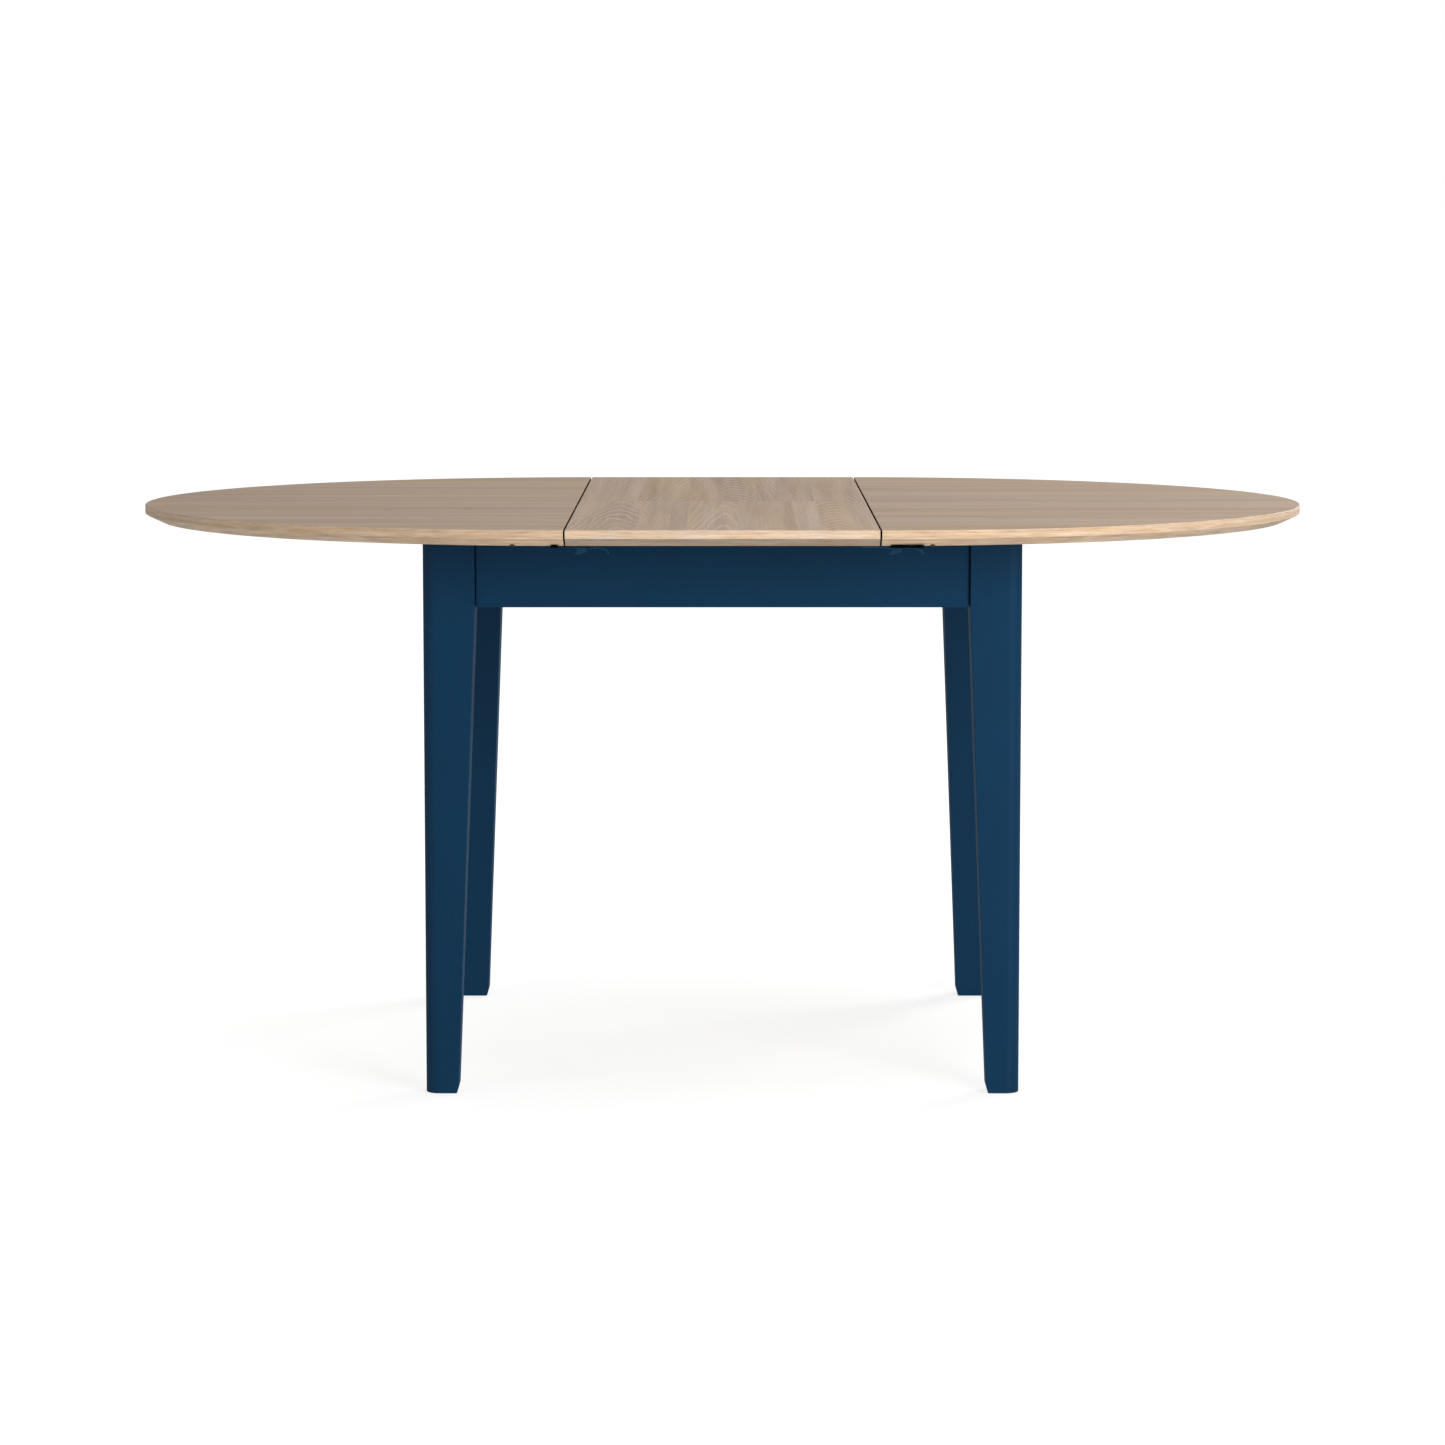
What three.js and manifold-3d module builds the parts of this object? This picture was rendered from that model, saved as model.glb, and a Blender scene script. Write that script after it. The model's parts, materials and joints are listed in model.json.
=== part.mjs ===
// Round dining table that extends by a folding centre leaf, modelled with the leaf in place.
// Two D-shaped half tops stand on a painted square frame of four tapered legs and four aprons.
// Each half is carried by two grooved runners, which slide on a tongued beam behind each long apron.
// The leaf is two panels joined by concealed barrel hinges along the middle, and it stows in the frame.
//
// Millimetres, +Z up. +X runs along the table's length and -Y is its front.
// The origin is on the floor, under the middle of the table.

import * as THREE from "three";
import { mergeVertices } from "three/addons/utils/BufferGeometryUtils.js";
import Module from "manifold-3d";

const wasm = await Module();
wasm.setup();

// ---- Driving dimensions ----

// Tops
const TABLE_HEIGHT = 762;
const HALF_RADIUS = 600;
const LEAF_WIDTH = 400;
const BAND_HEIGHT = 11.1; // upright part of the edge
const BEVEL_HEIGHT = 10.3; // sloping part under it
const BEVEL_INSET = 21.7;
const ARRIS = 0.8; // eased top edge
const SEAM_GAP = 2;
const FOLD_GAP = 0.6; // between the leaf's two panels
const ROUND_SEGMENTS = 112;

// Frame
const FRAME_HALF_LENGTH = 393; // to the outer faces of the legs
const FRAME_HALF_DEPTH = 396;
const FRAME_CLEARANCE = 0.6; // the legs stop short of the tops' underside
const LEG_SECTION = 68.7;
const LEG_FOOT_SECTION = 43.4;
const LEG_CORNER_RADIUS = 18;
const LEG_ARRIS = 1.6;
const FOOT_CHAMFER_WIDTH = 2.2;
const FOOT_CHAMFER_HEIGHT = 9;
const APRON_BOTTOM = 646.5;
const APRON_THICKNESS = 21;
const APRON_RECESS = 6; // behind the legs' outer faces
const SHADOW_GAP = 1.2; // between an apron's shoulder and the leg
const TENON = { thickness: 12, height: 88, depth: 14 };
const JOINT_CLEARANCE = 0.3; // between pieces that bear on each other

// Foot glides
const GLIDE_RADIUS = 12;
const GLIDE_THICKNESS = 5;
const GLIDE_PROUD = 1;

// Corner blocks and their bolts
const BLOCK_THICKNESS = 24;
const BLOCK_GAP = 2; // between the block and the leg's inner corner
const BLOCK_BOTTOM = 655;
const BLOCK_HEIGHT = 40;
const BOLT_RADIUS = 4;
const BOLT_IN_LEG = 32;
const BOLT_PAST_BLOCK = 16;
const WASHER = { radius: 11, thickness: 1.8 };
const NUT = { acrossFlats: 13, thickness: 6.5 };
const NUT_OVERLAP = 0.2; // so that nut and washer are one body

// Slides
const BEAM_THICKNESS = 14;
const BEAM_BOTTOM = 700;
const BEAM_TOP = 739;
const TONGUE = { height: 6, depth: 5 };
const SLIDE_CLEARANCE = 0.5;
const RUNNER_LENGTH = 240;
const RELEASE_TRAVEL = 30; // outward, before a runner meets the leg

// Bearers that carry the stowed leaf
const BEARER_WIDTH = 40;
const BEARER_THICKNESS = 22;
const BEARER_TOP = 694;
const BEARER_OFFSET = 120;
const HOUSING_DEPTH = 5;

// Alignment pins between the halves and the leaf
const PIN_RADIUS = 4;
const PIN_LENGTH = 30;
const PIN_PROUD = 10;
const PIN_OFFSET = 200; // from the table's middle, front and back
const NOTCH_WIDTH = 12;
const NOTCH_DEPTH = 12;

// Concealed barrel hinges in the leaf's fold
const BARREL_RADIUS = 7;
const BARREL_LENGTH = 17;
const BARREL_OFFSET = 110;
const BARREL_SLOT = { width: 4, depth: 9 };

// Edge clips under the seams
const CLIP_OFFSET = 552; // from the table's middle, front and back
const CLIP_WIDTH = 16;
const CLIP_METAL = 1.8;
const CLIP_FORK = { width: 10, behindPivot: 11, beyondPivot: 12 };
const CLIP_PIVOT = { x: 22.5, z: -6.5 }; // from the seam and the underside
const CLIP_PIN_RADIUS = 1.6;
const CLIP_PIN_CLEARANCE = 0.1;
const CLIP_PIN_PROUD = 1;
const CLIP_EYE_RADIUS = 3.2;
const CLIP_TOE = { beyondBevel: 5.9, lip: 1.4, rise: 1.6 }; // hooks up in front of the bevel's foot
const KEEPER_THICKNESS = 1;

// ---- Derived dimensions ----

const TOP_THICKNESS = BAND_HEIGHT + BEVEL_HEIGHT;
const UNDERSIDE = TABLE_HEIGHT - TOP_THICKNESS;
const TOP_MIDDLE = TABLE_HEIGHT - TOP_THICKNESS / 2;
const SEAM_X = LEAF_WIDTH / 2;
const FRAME_TOP = UNDERSIDE - FRAME_CLEARANCE;
const LEG_INNER_X = FRAME_HALF_LENGTH - LEG_SECTION;
const LEG_INNER_Y = FRAME_HALF_DEPTH - LEG_SECTION;
const LEG_BOTTOM = GLIDE_PROUD;
const APRON_TOP = UNDERSIDE - JOINT_CLEARANCE;
const APRON_OUTER_X = FRAME_HALF_LENGTH - APRON_RECESS;
const APRON_OUTER_Y = FRAME_HALF_DEPTH - APRON_RECESS;
const APRON_INNER_X = APRON_OUTER_X - APRON_THICKNESS;
const APRON_INNER_Y = APRON_OUTER_Y - APRON_THICKNESS;
const APRON_MIDDLE_Z = (APRON_BOTTOM + APRON_TOP) / 2;
const CLIP_TOE_REACH = HALF_RADIUS - BEVEL_INSET + CLIP_TOE.beyondBevel - CLIP_OFFSET;
const BEAM_OFFSET = APRON_INNER_Y - 1.5 * BEAM_THICKNESS - 2 * SLIDE_CLEARANCE;
const RUNNER_OUTER_END = LEG_INNER_X - RELEASE_TRAVEL - JOINT_CLEARANCE;

// ---- Materials ----

const material = (color, roughness, metalness = 0) =>
  new THREE.MeshStandardMaterial({ color, roughness, metalness });
const OAK = material(0xc9b49c, 0.55);
const PAINT = material(0x14364f, 0.45);
const BEECH = material(0xc8a37a, 0.6);
const STEEL = material(0x2d3a45, 0.4, 0.9);
const ZINC = material(0xa9adb0, 0.35, 1);
const BRASS = material(0xb08d45, 0.35, 1);
const NYLON = material(0x2b2b2c, 0.6);

// ---- Solids ----

function solid(geometry) {
  const bare = geometry.index ? geometry.toNonIndexed() : geometry.clone();
  bare.deleteAttribute("normal");
  bare.deleteAttribute("uv");
  const merged = mergeVertices(bare, 1e-3);
  return new wasm.Manifold(
    new wasm.Mesh({
      numProp: 3,
      vertProperties: new Float32Array(merged.attributes.position.array),
      triVerts: new Uint32Array(merged.index.array),
    }),
  );
}

function geometryOf(manifold) {
  const mesh = manifold.getMesh();
  const shared = new THREE.BufferGeometry()
    .setAttribute("position", new THREE.BufferAttribute(mesh.vertProperties, 3))
    .setIndex(new THREE.BufferAttribute(mesh.triVerts, 1));
  const faceted = shared.toNonIndexed();
  faceted.computeVertexNormals();
  return faceted;
}

const joined = (pieces) => pieces.map(solid).reduce((sum, next) => sum.add(next));

function cut(body, tools) {
  return geometryOf(tools.map(solid).reduce((rest, tool) => rest.subtract(tool), solid(body)));
}

const union = (pieces) => geometryOf(joined(pieces));

// A box from its lowest to its highest corner.
function box([x0, y0, z0], [x1, y1, z1]) {
  return new THREE.BoxGeometry(x1 - x0, y1 - y0, z1 - z0).translate(
    (x0 + x1) / 2,
    (y0 + y1) / 2,
    (z0 + z1) / 2,
  );
}

function outline(points) {
  return new THREE.Shape(points.map(([u, v]) => new THREE.Vector2(u, v)));
}

function extruded(shape, length) {
  return new THREE.ExtrudeGeometry(shape, {
    depth: length,
    bevelEnabled: false,
    curveSegments: 8,
  });
}

// A prism along X: its outline is given as (y, z) points.
function prismX(points, x0, x1) {
  const turn = new THREE.Matrix4().makeBasis(
    new THREE.Vector3(0, 1, 0),
    new THREE.Vector3(0, 0, 1),
    new THREE.Vector3(1, 0, 0),
  );
  return extruded(outline(points), x1 - x0).applyMatrix4(turn).translate(x0, 0, 0);
}

// A prism along Y: its outline is given as (x, z) points.
function prismY(points, y0, y1) {
  return extruded(outline(points), y1 - y0).rotateX(Math.PI / 2).translate(0, y1, 0);
}

function prismZ(shape, z0, z1) {
  return extruded(shape, z1 - z0).translate(0, 0, z0);
}

// A cylinder along one axis, from one end's centre.
function rod(axis, start, length, radius, segments = 24) {
  const direction = new THREE.Vector3(...axis).normalize();
  const turn = new THREE.Quaternion().setFromUnitVectors(new THREE.Vector3(0, 1, 0), direction);
  return new THREE.CylinderGeometry(radius, radius, length, segments)
    .translate(0, length / 2, 0)
    .applyQuaternion(turn)
    .translate(...start);
}

function mesh(name, geometry, look) {
  const made = new THREE.Mesh(geometry, look);
  made.name = name;
  return made;
}

// ---- Tops ----

// The edge seen in section: eased at the top, upright, then sloping in to the underside.
function edgeProfile(reach) {
  return [
    [reach - BEVEL_INSET, UNDERSIDE],
    [reach, UNDERSIDE + BEVEL_HEIGHT],
    [reach, TABLE_HEIGHT - ARRIS],
    [reach - ARRIS, TABLE_HEIGHT],
  ];
}

// The right half, with blind holes for its alignment pins.
function halfTop() {
  const profile = [[0, UNDERSIDE], ...edgeProfile(HALF_RADIUS), [0, TABLE_HEIGHT]];
  const disc = new THREE.LatheGeometry(
    profile.map(([r, z]) => new THREE.Vector2(r, z)),
    ROUND_SEGMENTS,
  )
    .rotateX(Math.PI / 2)
    .translate(SEAM_X, 0, 0);
  const faceX = SEAM_X + SEAM_GAP / 2;
  const otherSide = box(
    [-2 * HALF_RADIUS, -2 * HALF_RADIUS, 0],
    [faceX, 2 * HALF_RADIUS, 2 * TABLE_HEIGHT],
  );
  const holeDepth = PIN_LENGTH - PIN_PROUD + JOINT_CLEARANCE;
  const holes = [-1, 1].map((end) =>
    rod(
      [1, 0, 0],
      [faceX - 1, end * PIN_OFFSET, TOP_MIDDLE],
      holeDepth + 1,
      PIN_RADIUS + JOINT_CLEARANCE,
    ),
  );
  return cut(disc, [otherSide, ...holes]);
}

function alignmentPin() {
  const start = SEAM_X + SEAM_GAP / 2 - PIN_PROUD;
  return rod([1, 0, 0], [start, 0, TOP_MIDDLE], PIN_LENGTH, PIN_RADIUS);
}

// The rear leaf panel. Its notches are open below, so that it lifts and folds off the pins.
function leafPanel() {
  const halfWidth = SEAM_X - SEAM_GAP / 2;
  const foldY = FOLD_GAP / 2;
  const profile = [[foldY, UNDERSIDE], ...edgeProfile(HALF_RADIUS), [foldY, TABLE_HEIGHT]];
  const panel = prismX(profile, -halfWidth, halfWidth);
  const notches = [-1, 1].map((side) => {
    const inner = side * (halfWidth - NOTCH_DEPTH);
    const outer = side * (halfWidth + 1);
    return box(
      [Math.min(inner, outer), PIN_OFFSET - NOTCH_WIDTH / 2, UNDERSIDE - 1],
      [
        Math.max(inner, outer),
        PIN_OFFSET + NOTCH_WIDTH / 2,
        TOP_MIDDLE + PIN_RADIUS + SLIDE_CLEARANCE,
      ],
    );
  });
  const sockets = [-1, 1].map((side) =>
    rod(
      [0, 1, 0],
      [side * BARREL_OFFSET, foldY - 1, TOP_MIDDLE],
      BARREL_LENGTH + 2 * JOINT_CLEARANCE + 1,
      BARREL_RADIUS + JOINT_CLEARANCE,
    ),
  );
  return cut(panel, [...notches, ...sockets]);
}

// A hinge barrel with the slot that its links fold into.
function hingeBarrel() {
  const start = FOLD_GAP / 2 + JOINT_CLEARANCE;
  const barrel = rod([0, 1, 0], [0, start, TOP_MIDDLE], BARREL_LENGTH, BARREL_RADIUS);
  const slot = box(
    [-BARREL_SLOT.width / 2, start - 1, TOP_MIDDLE - BARREL_RADIUS + 2],
    [BARREL_SLOT.width / 2, start + BARREL_SLOT.depth, TOP_MIDDLE + BARREL_RADIUS + 1],
  );
  return cut(barrel, [slot]);
}

// ---- Frame, drawn in the quarter where X and Y are positive ----

function legSection() {
  const shape = new THREE.Shape();
  const a = LEG_ARRIS;
  const r = LEG_CORNER_RADIUS;
  shape.moveTo(LEG_INNER_X + a, LEG_INNER_Y);
  shape.lineTo(FRAME_HALF_LENGTH - a, LEG_INNER_Y);
  shape.lineTo(FRAME_HALF_LENGTH, LEG_INNER_Y + a);
  shape.lineTo(FRAME_HALF_LENGTH, FRAME_HALF_DEPTH - r);
  shape.absarc(FRAME_HALF_LENGTH - r, FRAME_HALF_DEPTH - r, r, 0, Math.PI / 2, false);
  shape.lineTo(LEG_INNER_X + a, FRAME_HALF_DEPTH);
  shape.lineTo(LEG_INNER_X, FRAME_HALF_DEPTH - a);
  shape.lineTo(LEG_INNER_X, LEG_INNER_Y + a);
  shape.closePath();
  return shape;
}

// What is cut from a leg's inner face: the taper, and the chamfer at the foot.
function taperOutlines(inner) {
  const taper = LEG_SECTION - LEG_FOOT_SECTION;
  const chamferTop = LEG_BOTTOM + FOOT_CHAMFER_HEIGHT;
  const faceAt = (z) => inner + (taper * (APRON_BOTTOM - z)) / APRON_BOTTOM;
  const clear = inner - LEG_SECTION;
  return [
    [
      [clear, -1],
      [faceAt(-1), -1],
      [inner, APRON_BOTTOM],
      [clear, APRON_BOTTOM],
    ],
    [
      [clear, -1],
      [faceAt(-1) + FOOT_CHAMFER_WIDTH, -1],
      [faceAt(LEG_BOTTOM) + FOOT_CHAMFER_WIDTH, LEG_BOTTOM],
      [faceAt(chamferTop), chamferTop],
      [clear, chamferTop],
    ],
  ];
}

function mortises() {
  const halfThickness = TENON.thickness / 2 + JOINT_CLEARANCE;
  const halfHeight = TENON.height / 2 + JOINT_CLEARANCE;
  const depth = TENON.depth + JOINT_CLEARANCE;
  const middleX = APRON_OUTER_X - APRON_THICKNESS / 2;
  const middleY = APRON_OUTER_Y - APRON_THICKNESS / 2;
  return [
    box(
      [LEG_INNER_X - 1, middleY - halfThickness, APRON_MIDDLE_Z - halfHeight],
      [LEG_INNER_X + depth, middleY + halfThickness, APRON_MIDDLE_Z + halfHeight],
    ),
    box(
      [middleX - halfThickness, LEG_INNER_Y - 1, APRON_MIDDLE_Z - halfHeight],
      [middleX + halfThickness, LEG_INNER_Y + depth, APRON_MIDDLE_Z + halfHeight],
    ),
  ];
}

const DIAGONAL = [Math.SQRT1_2, Math.SQRT1_2, 0];
const BOLT_Z = BLOCK_BOTTOM + BLOCK_HEIGHT / 2;

// A point on the diagonal through the leg's inner corner, measured outwards from that corner.
function alongDiagonal(distance) {
  const step = distance * Math.SQRT1_2;
  return [LEG_INNER_X + step, LEG_INNER_Y + step, BOLT_Z];
}

function leg() {
  const post = prismZ(legSection(), LEG_BOTTOM, FRAME_TOP);
  const reach = 2 * FRAME_HALF_DEPTH;
  const footX = FRAME_HALF_LENGTH - LEG_FOOT_SECTION / 2;
  const footY = FRAME_HALF_DEPTH - LEG_FOOT_SECTION / 2;
  const recess = rod(
    [0, 0, 1],
    [footX, footY, 0],
    GLIDE_THICKNESS + JOINT_CLEARANCE,
    GLIDE_RADIUS + JOINT_CLEARANCE,
    32,
  );
  const boltHole = rod(
    DIAGONAL,
    alongDiagonal(-5),
    BOLT_IN_LEG + 5 + JOINT_CLEARANCE,
    BOLT_RADIUS + JOINT_CLEARANCE,
  );
  return cut(post, [
    ...taperOutlines(LEG_INNER_X).map((points) => prismY(points, 0, reach)),
    ...taperOutlines(LEG_INNER_Y).map((points) => prismX(points, 0, reach)),
    ...mortises(),
    recess,
    boltHole,
  ]);
}

function footGlide() {
  const footX = FRAME_HALF_LENGTH - LEG_FOOT_SECTION / 2;
  const footY = FRAME_HALF_DEPTH - LEG_FOOT_SECTION / 2;
  return rod([0, 0, 1], [footX, footY, 0], GLIDE_THICKNESS, GLIDE_RADIUS, 32);
}

// A block across the corner, with its ends cut to the two aprons.
function cornerBlock() {
  const wallX = APRON_INNER_X - JOINT_CLEARANCE;
  const wallY = APRON_INNER_Y - JOINT_CLEARANCE;
  const outerSum = LEG_INNER_X + LEG_INNER_Y - BLOCK_GAP * Math.SQRT2;
  const innerSum = outerSum - BLOCK_THICKNESS * Math.SQRT2;
  const block = prismZ(
    outline([
      [outerSum - wallY, wallY],
      [innerSum - wallY, wallY],
      [wallX, innerSum - wallX],
      [wallX, outerSum - wallX],
    ]),
    BLOCK_BOTTOM,
    BLOCK_BOTTOM + BLOCK_HEIGHT,
  );
  const hole = rod(
    DIAGONAL,
    alongDiagonal(-2 * BLOCK_THICKNESS),
    3 * BLOCK_THICKNESS,
    BOLT_RADIUS + JOINT_CLEARANCE,
  );
  return cut(block, [hole]);
}

// A hanger bolt from the leg through the block, with its washer and nut.
function cornerBolt() {
  const blockFace = -BLOCK_GAP - BLOCK_THICKNESS - JOINT_CLEARANCE;
  const end = blockFace - BOLT_PAST_BLOCK;
  const washerEnd = blockFace - WASHER.thickness;
  const nutStart = washerEnd - NUT.thickness;
  const nutRadius = NUT.acrossFlats / Math.sqrt(3);
  return union([
    rod(DIAGONAL, alongDiagonal(end), BOLT_IN_LEG - end, BOLT_RADIUS),
    rod(DIAGONAL, alongDiagonal(washerEnd), WASHER.thickness, WASHER.radius),
    rod(DIAGONAL, alongDiagonal(nutStart), NUT.thickness + NUT_OVERLAP, nutRadius, 6),
  ]);
}

// The rear apron, with a tenon at each end and housings for the bearers.
function longApron() {
  const shoulder = LEG_INNER_X - SHADOW_GAP;
  const tip = LEG_INNER_X + TENON.depth;
  const middle = APRON_OUTER_Y - APRON_THICKNESS / 2;
  const board = joined([
    box([-shoulder, APRON_INNER_Y, APRON_BOTTOM], [shoulder, APRON_OUTER_Y, APRON_TOP]),
    box(
      [-tip, middle - TENON.thickness / 2, APRON_MIDDLE_Z - TENON.height / 2],
      [tip, middle + TENON.thickness / 2, APRON_MIDDLE_Z + TENON.height / 2],
    ),
  ]);
  const housings = [-1, 1].map((side) =>
    box(
      [
        side * BEARER_OFFSET - BEARER_WIDTH / 2 - JOINT_CLEARANCE,
        APRON_INNER_Y - 1,
        BEARER_TOP - BEARER_THICKNESS - JOINT_CLEARANCE,
      ],
      [
        side * BEARER_OFFSET + BEARER_WIDTH / 2 + JOINT_CLEARANCE,
        APRON_INNER_Y + HOUSING_DEPTH + JOINT_CLEARANCE,
        BEARER_TOP + JOINT_CLEARANCE,
      ],
    ),
  );
  return geometryOf(housings.map(solid).reduce((rest, tool) => rest.subtract(tool), board));
}

// The right apron, with a tenon at each end.
function shortApron() {
  const shoulder = LEG_INNER_Y - SHADOW_GAP;
  const tip = LEG_INNER_Y + TENON.depth;
  const middle = APRON_OUTER_X - APRON_THICKNESS / 2;
  return union([
    box([APRON_INNER_X, -shoulder, APRON_BOTTOM], [APRON_OUTER_X, shoulder, APRON_TOP]),
    box(
      [middle - TENON.thickness / 2, -tip, APRON_MIDDLE_Z - TENON.height / 2],
      [middle + TENON.thickness / 2, tip, APRON_MIDDLE_Z + TENON.height / 2],
    ),
  ]);
}

function leafBearer() {
  const end = APRON_INNER_Y + HOUSING_DEPTH;
  return box(
    [BEARER_OFFSET - BEARER_WIDTH / 2, -end, BEARER_TOP - BEARER_THICKNESS],
    [BEARER_OFFSET + BEARER_WIDTH / 2, end, BEARER_TOP],
  );
}

// ---- Slides, drawn about the beam's own middle plane ----

const TONGUE_MIDDLE = (BEAM_BOTTOM + BEAM_TOP) / 2;

function slideBeam() {
  const end = LEG_INNER_X - SLIDE_CLEARANCE;
  const side = BEAM_THICKNESS / 2;
  return union([
    box([-end, -side, BEAM_BOTTOM], [end, side, BEAM_TOP]),
    box(
      [-end, -side - TONGUE.depth, TONGUE_MIDDLE - TONGUE.height / 2],
      [end, side + TONGUE.depth, TONGUE_MIDDLE + TONGUE.height / 2],
    ),
  ]);
}

// The right half's runner: it stands beside the beam, fixed up to the half and free under the leaf.
function slideRunner() {
  const near = BEAM_THICKNESS / 2 + SLIDE_CLEARANCE;
  const inner = RUNNER_OUTER_END - RUNNER_LENGTH;
  const bar = box(
    [inner, near, BEAM_BOTTOM],
    [RUNNER_OUTER_END, near + BEAM_THICKNESS, UNDERSIDE - JOINT_CLEARANCE],
  );
  const grooveHalfHeight = TONGUE.height / 2 + SLIDE_CLEARANCE;
  const groove = box(
    [inner - 1, near - 1, TONGUE_MIDDLE - grooveHalfHeight],
    [RUNNER_OUTER_END + 1, near + TONGUE.depth, TONGUE_MIDDLE + grooveHalfHeight],
  );
  return cut(bar, [groove]);
}

// ---- Edge clips, drawn from the seam (x) and the tops' underside (z) ----

// A strip of sheet metal that follows a line of (x, z) points.
function strip(points, halfWidth) {
  const half = CLIP_METAL / 2;
  const normals = points.map((_, i) => {
    const [ax, az] = points[Math.max(i - 1, 0)];
    const [bx, bz] = points[Math.min(i + 1, points.length - 1)];
    const length = Math.hypot(bx - ax, bz - az);
    return [-(bz - az) / length, (bx - ax) / length];
  });
  const side = (sign) =>
    points.map(([x, z], i) => [x + sign * half * normals[i][0], z + sign * half * normals[i][1]]);
  return prismY([...side(-1), ...side(1).reverse()], -halfWidth, halfWidth);
}

// The two cheeks that hold the pivot pin: they lean back to a point below the strip.
function clipCheeks(top) {
  const cheek = [
    [12.5, -12.8],
    [19, -11.6],
    [27.5, -9.2],
    [28.2, -5.6],
    [26.5, top],
    [17.5, top],
  ];
  return prismY(cheek, -CLIP_WIDTH / 2, CLIP_WIDTH / 2);
}

function clipBore() {
  const { x, z } = CLIP_PIVOT;
  const radius = CLIP_PIN_RADIUS + CLIP_PIN_CLEARANCE;
  return rod([0, 1, 0], [x, -CLIP_WIDTH, z], 2 * CLIP_WIDTH, radius, 16);
}

function clipCuts() {
  const { x } = CLIP_PIVOT;
  const fork = box(
    [x - CLIP_FORK.behindPivot, -CLIP_FORK.width / 2, -TOP_THICKNESS],
    [x + CLIP_FORK.beyondPivot, CLIP_FORK.width / 2, -CLIP_METAL - JOINT_CLEARANCE],
  );
  return [fork, clipBore()];
}

// The toe runs out under the top and turns up in front of the bevel's foot. It is drawn for the rear.
function clipToe(x0, x1) {
  const top = -JOINT_CLEARANCE;
  return [
    box([x0, 0, top - CLIP_METAL], [x1, CLIP_TOE_REACH, top]),
    box([x0, CLIP_TOE_REACH - CLIP_TOE.lip, top - CLIP_METAL], [x1, CLIP_TOE_REACH, CLIP_TOE.rise]),
  ];
}

// The left halves' bracket is fixed at its flat end and reaches under the leaf.
function leftBracket() {
  const top = -JOINT_CLEARANCE - CLIP_METAL / 2;
  const arm = [
    [-24, top],
    [-5, top],
    [9, -3.2],
    [19, -5.2],
  ];
  const pieces = [strip(arm, CLIP_WIDTH / 2), clipCheeks(-3.4), ...clipToe(-17, -8)];
  return cut(union(pieces), clipCuts());
}

// The right halves' bracket hangs from a plate, and its tongue bears under the leaf.
function rightBracket() {
  const top = -JOINT_CLEARANCE - KEEPER_THICKNESS - SLIDE_CLEARANCE - CLIP_METAL / 2;
  const tongue = [
    [-24, top],
    [-5, top],
    [9, -3.9],
    [19, -5.4],
  ];
  const [x0, x1] = [13, 55];
  const plate = box(
    [x0, -CLIP_WIDTH / 2, -JOINT_CLEARANCE - CLIP_METAL],
    [x1, CLIP_WIDTH / 2, -JOINT_CLEARANCE],
  );
  const pieces = [strip(tongue, CLIP_WIDTH / 2), plate, clipCheeks(-1.6), ...clipToe(x0, x1)];
  return cut(union(pieces), clipCuts());
}

// The lever turns down on the pin: an eye, a neck between the cheeks, and an arched finger tab.
function clipLever() {
  const { x, z } = CLIP_PIVOT;
  const neckHalfWidth = CLIP_FORK.width / 2 - JOINT_CLEARANCE;
  const neck = [
    [x, z + 1.2],
    [x + 7, z + 1.6],
    [x + 12, z + 2.1],
  ];
  const tab = [
    [x + 9, z + 1.8],
    [x + 15, z + 2.4],
    [x + 21, z + 2.5],
    [x + 27, z + 1],
    [x + 31, z - 1.6],
    [x + 33, z - 5],
  ];
  const body = union([
    rod([0, 1, 0], [x, -neckHalfWidth, z], 2 * neckHalfWidth, CLIP_EYE_RADIUS, 20),
    strip(neck, neckHalfWidth),
    strip(tab, CLIP_WIDTH / 2),
  ]);
  return cut(body, [clipBore()]);
}

function clipPin() {
  const { x, z } = CLIP_PIVOT;
  const halfLength = CLIP_WIDTH / 2 + CLIP_PIN_PROUD;
  return rod([0, 1, 0], [x, -halfLength, z], 2 * halfLength, CLIP_PIN_RADIUS, 16);
}

// The flat plate under the leaf that the clip bears on.
function clipKeeper(x0, x1) {
  return box(
    [x0, -CLIP_WIDTH / 2, -JOINT_CLEARANCE - KEEPER_THICKNESS],
    [x1, CLIP_WIDTH / 2, -JOINT_CLEARANCE],
  );
}

// ---- Assembly ----

const SIDES = [
  { name: "left", x: -1, bracket: leftBracket(), keeper: clipKeeper(20, 43) },
  { name: "right", x: 1, bracket: rightBracket(), keeper: clipKeeper(-22, -6) },
];
const ENDS = [
  { name: "front", y: -1 },
  { name: "rear", y: 1 },
];

const table = new THREE.Group();

function placed(parent, { scale = [1, 1, 1], position = [0, 0, 0] }) {
  const group = new THREE.Group();
  group.scale.set(...scale);
  group.position.set(...position);
  parent.add(group);
  return group;
}

const legGeometry = leg();
const glideGeometry = footGlide();
const blockGeometry = cornerBlock();
const boltGeometry = cornerBolt();
const halfGeometry = halfTop();
const pinGeometry = alignmentPin();
const runnerGeometry = slideRunner();
const leverGeometry = clipLever();
const clipPinGeometry = clipPin();
const longApronGeometry = longApron();
const shortApronGeometry = shortApron();
const bearerGeometry = leafBearer();
const beamGeometry = slideBeam();
const panelGeometry = leafPanel();
const barrelGeometry = hingeBarrel();

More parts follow.
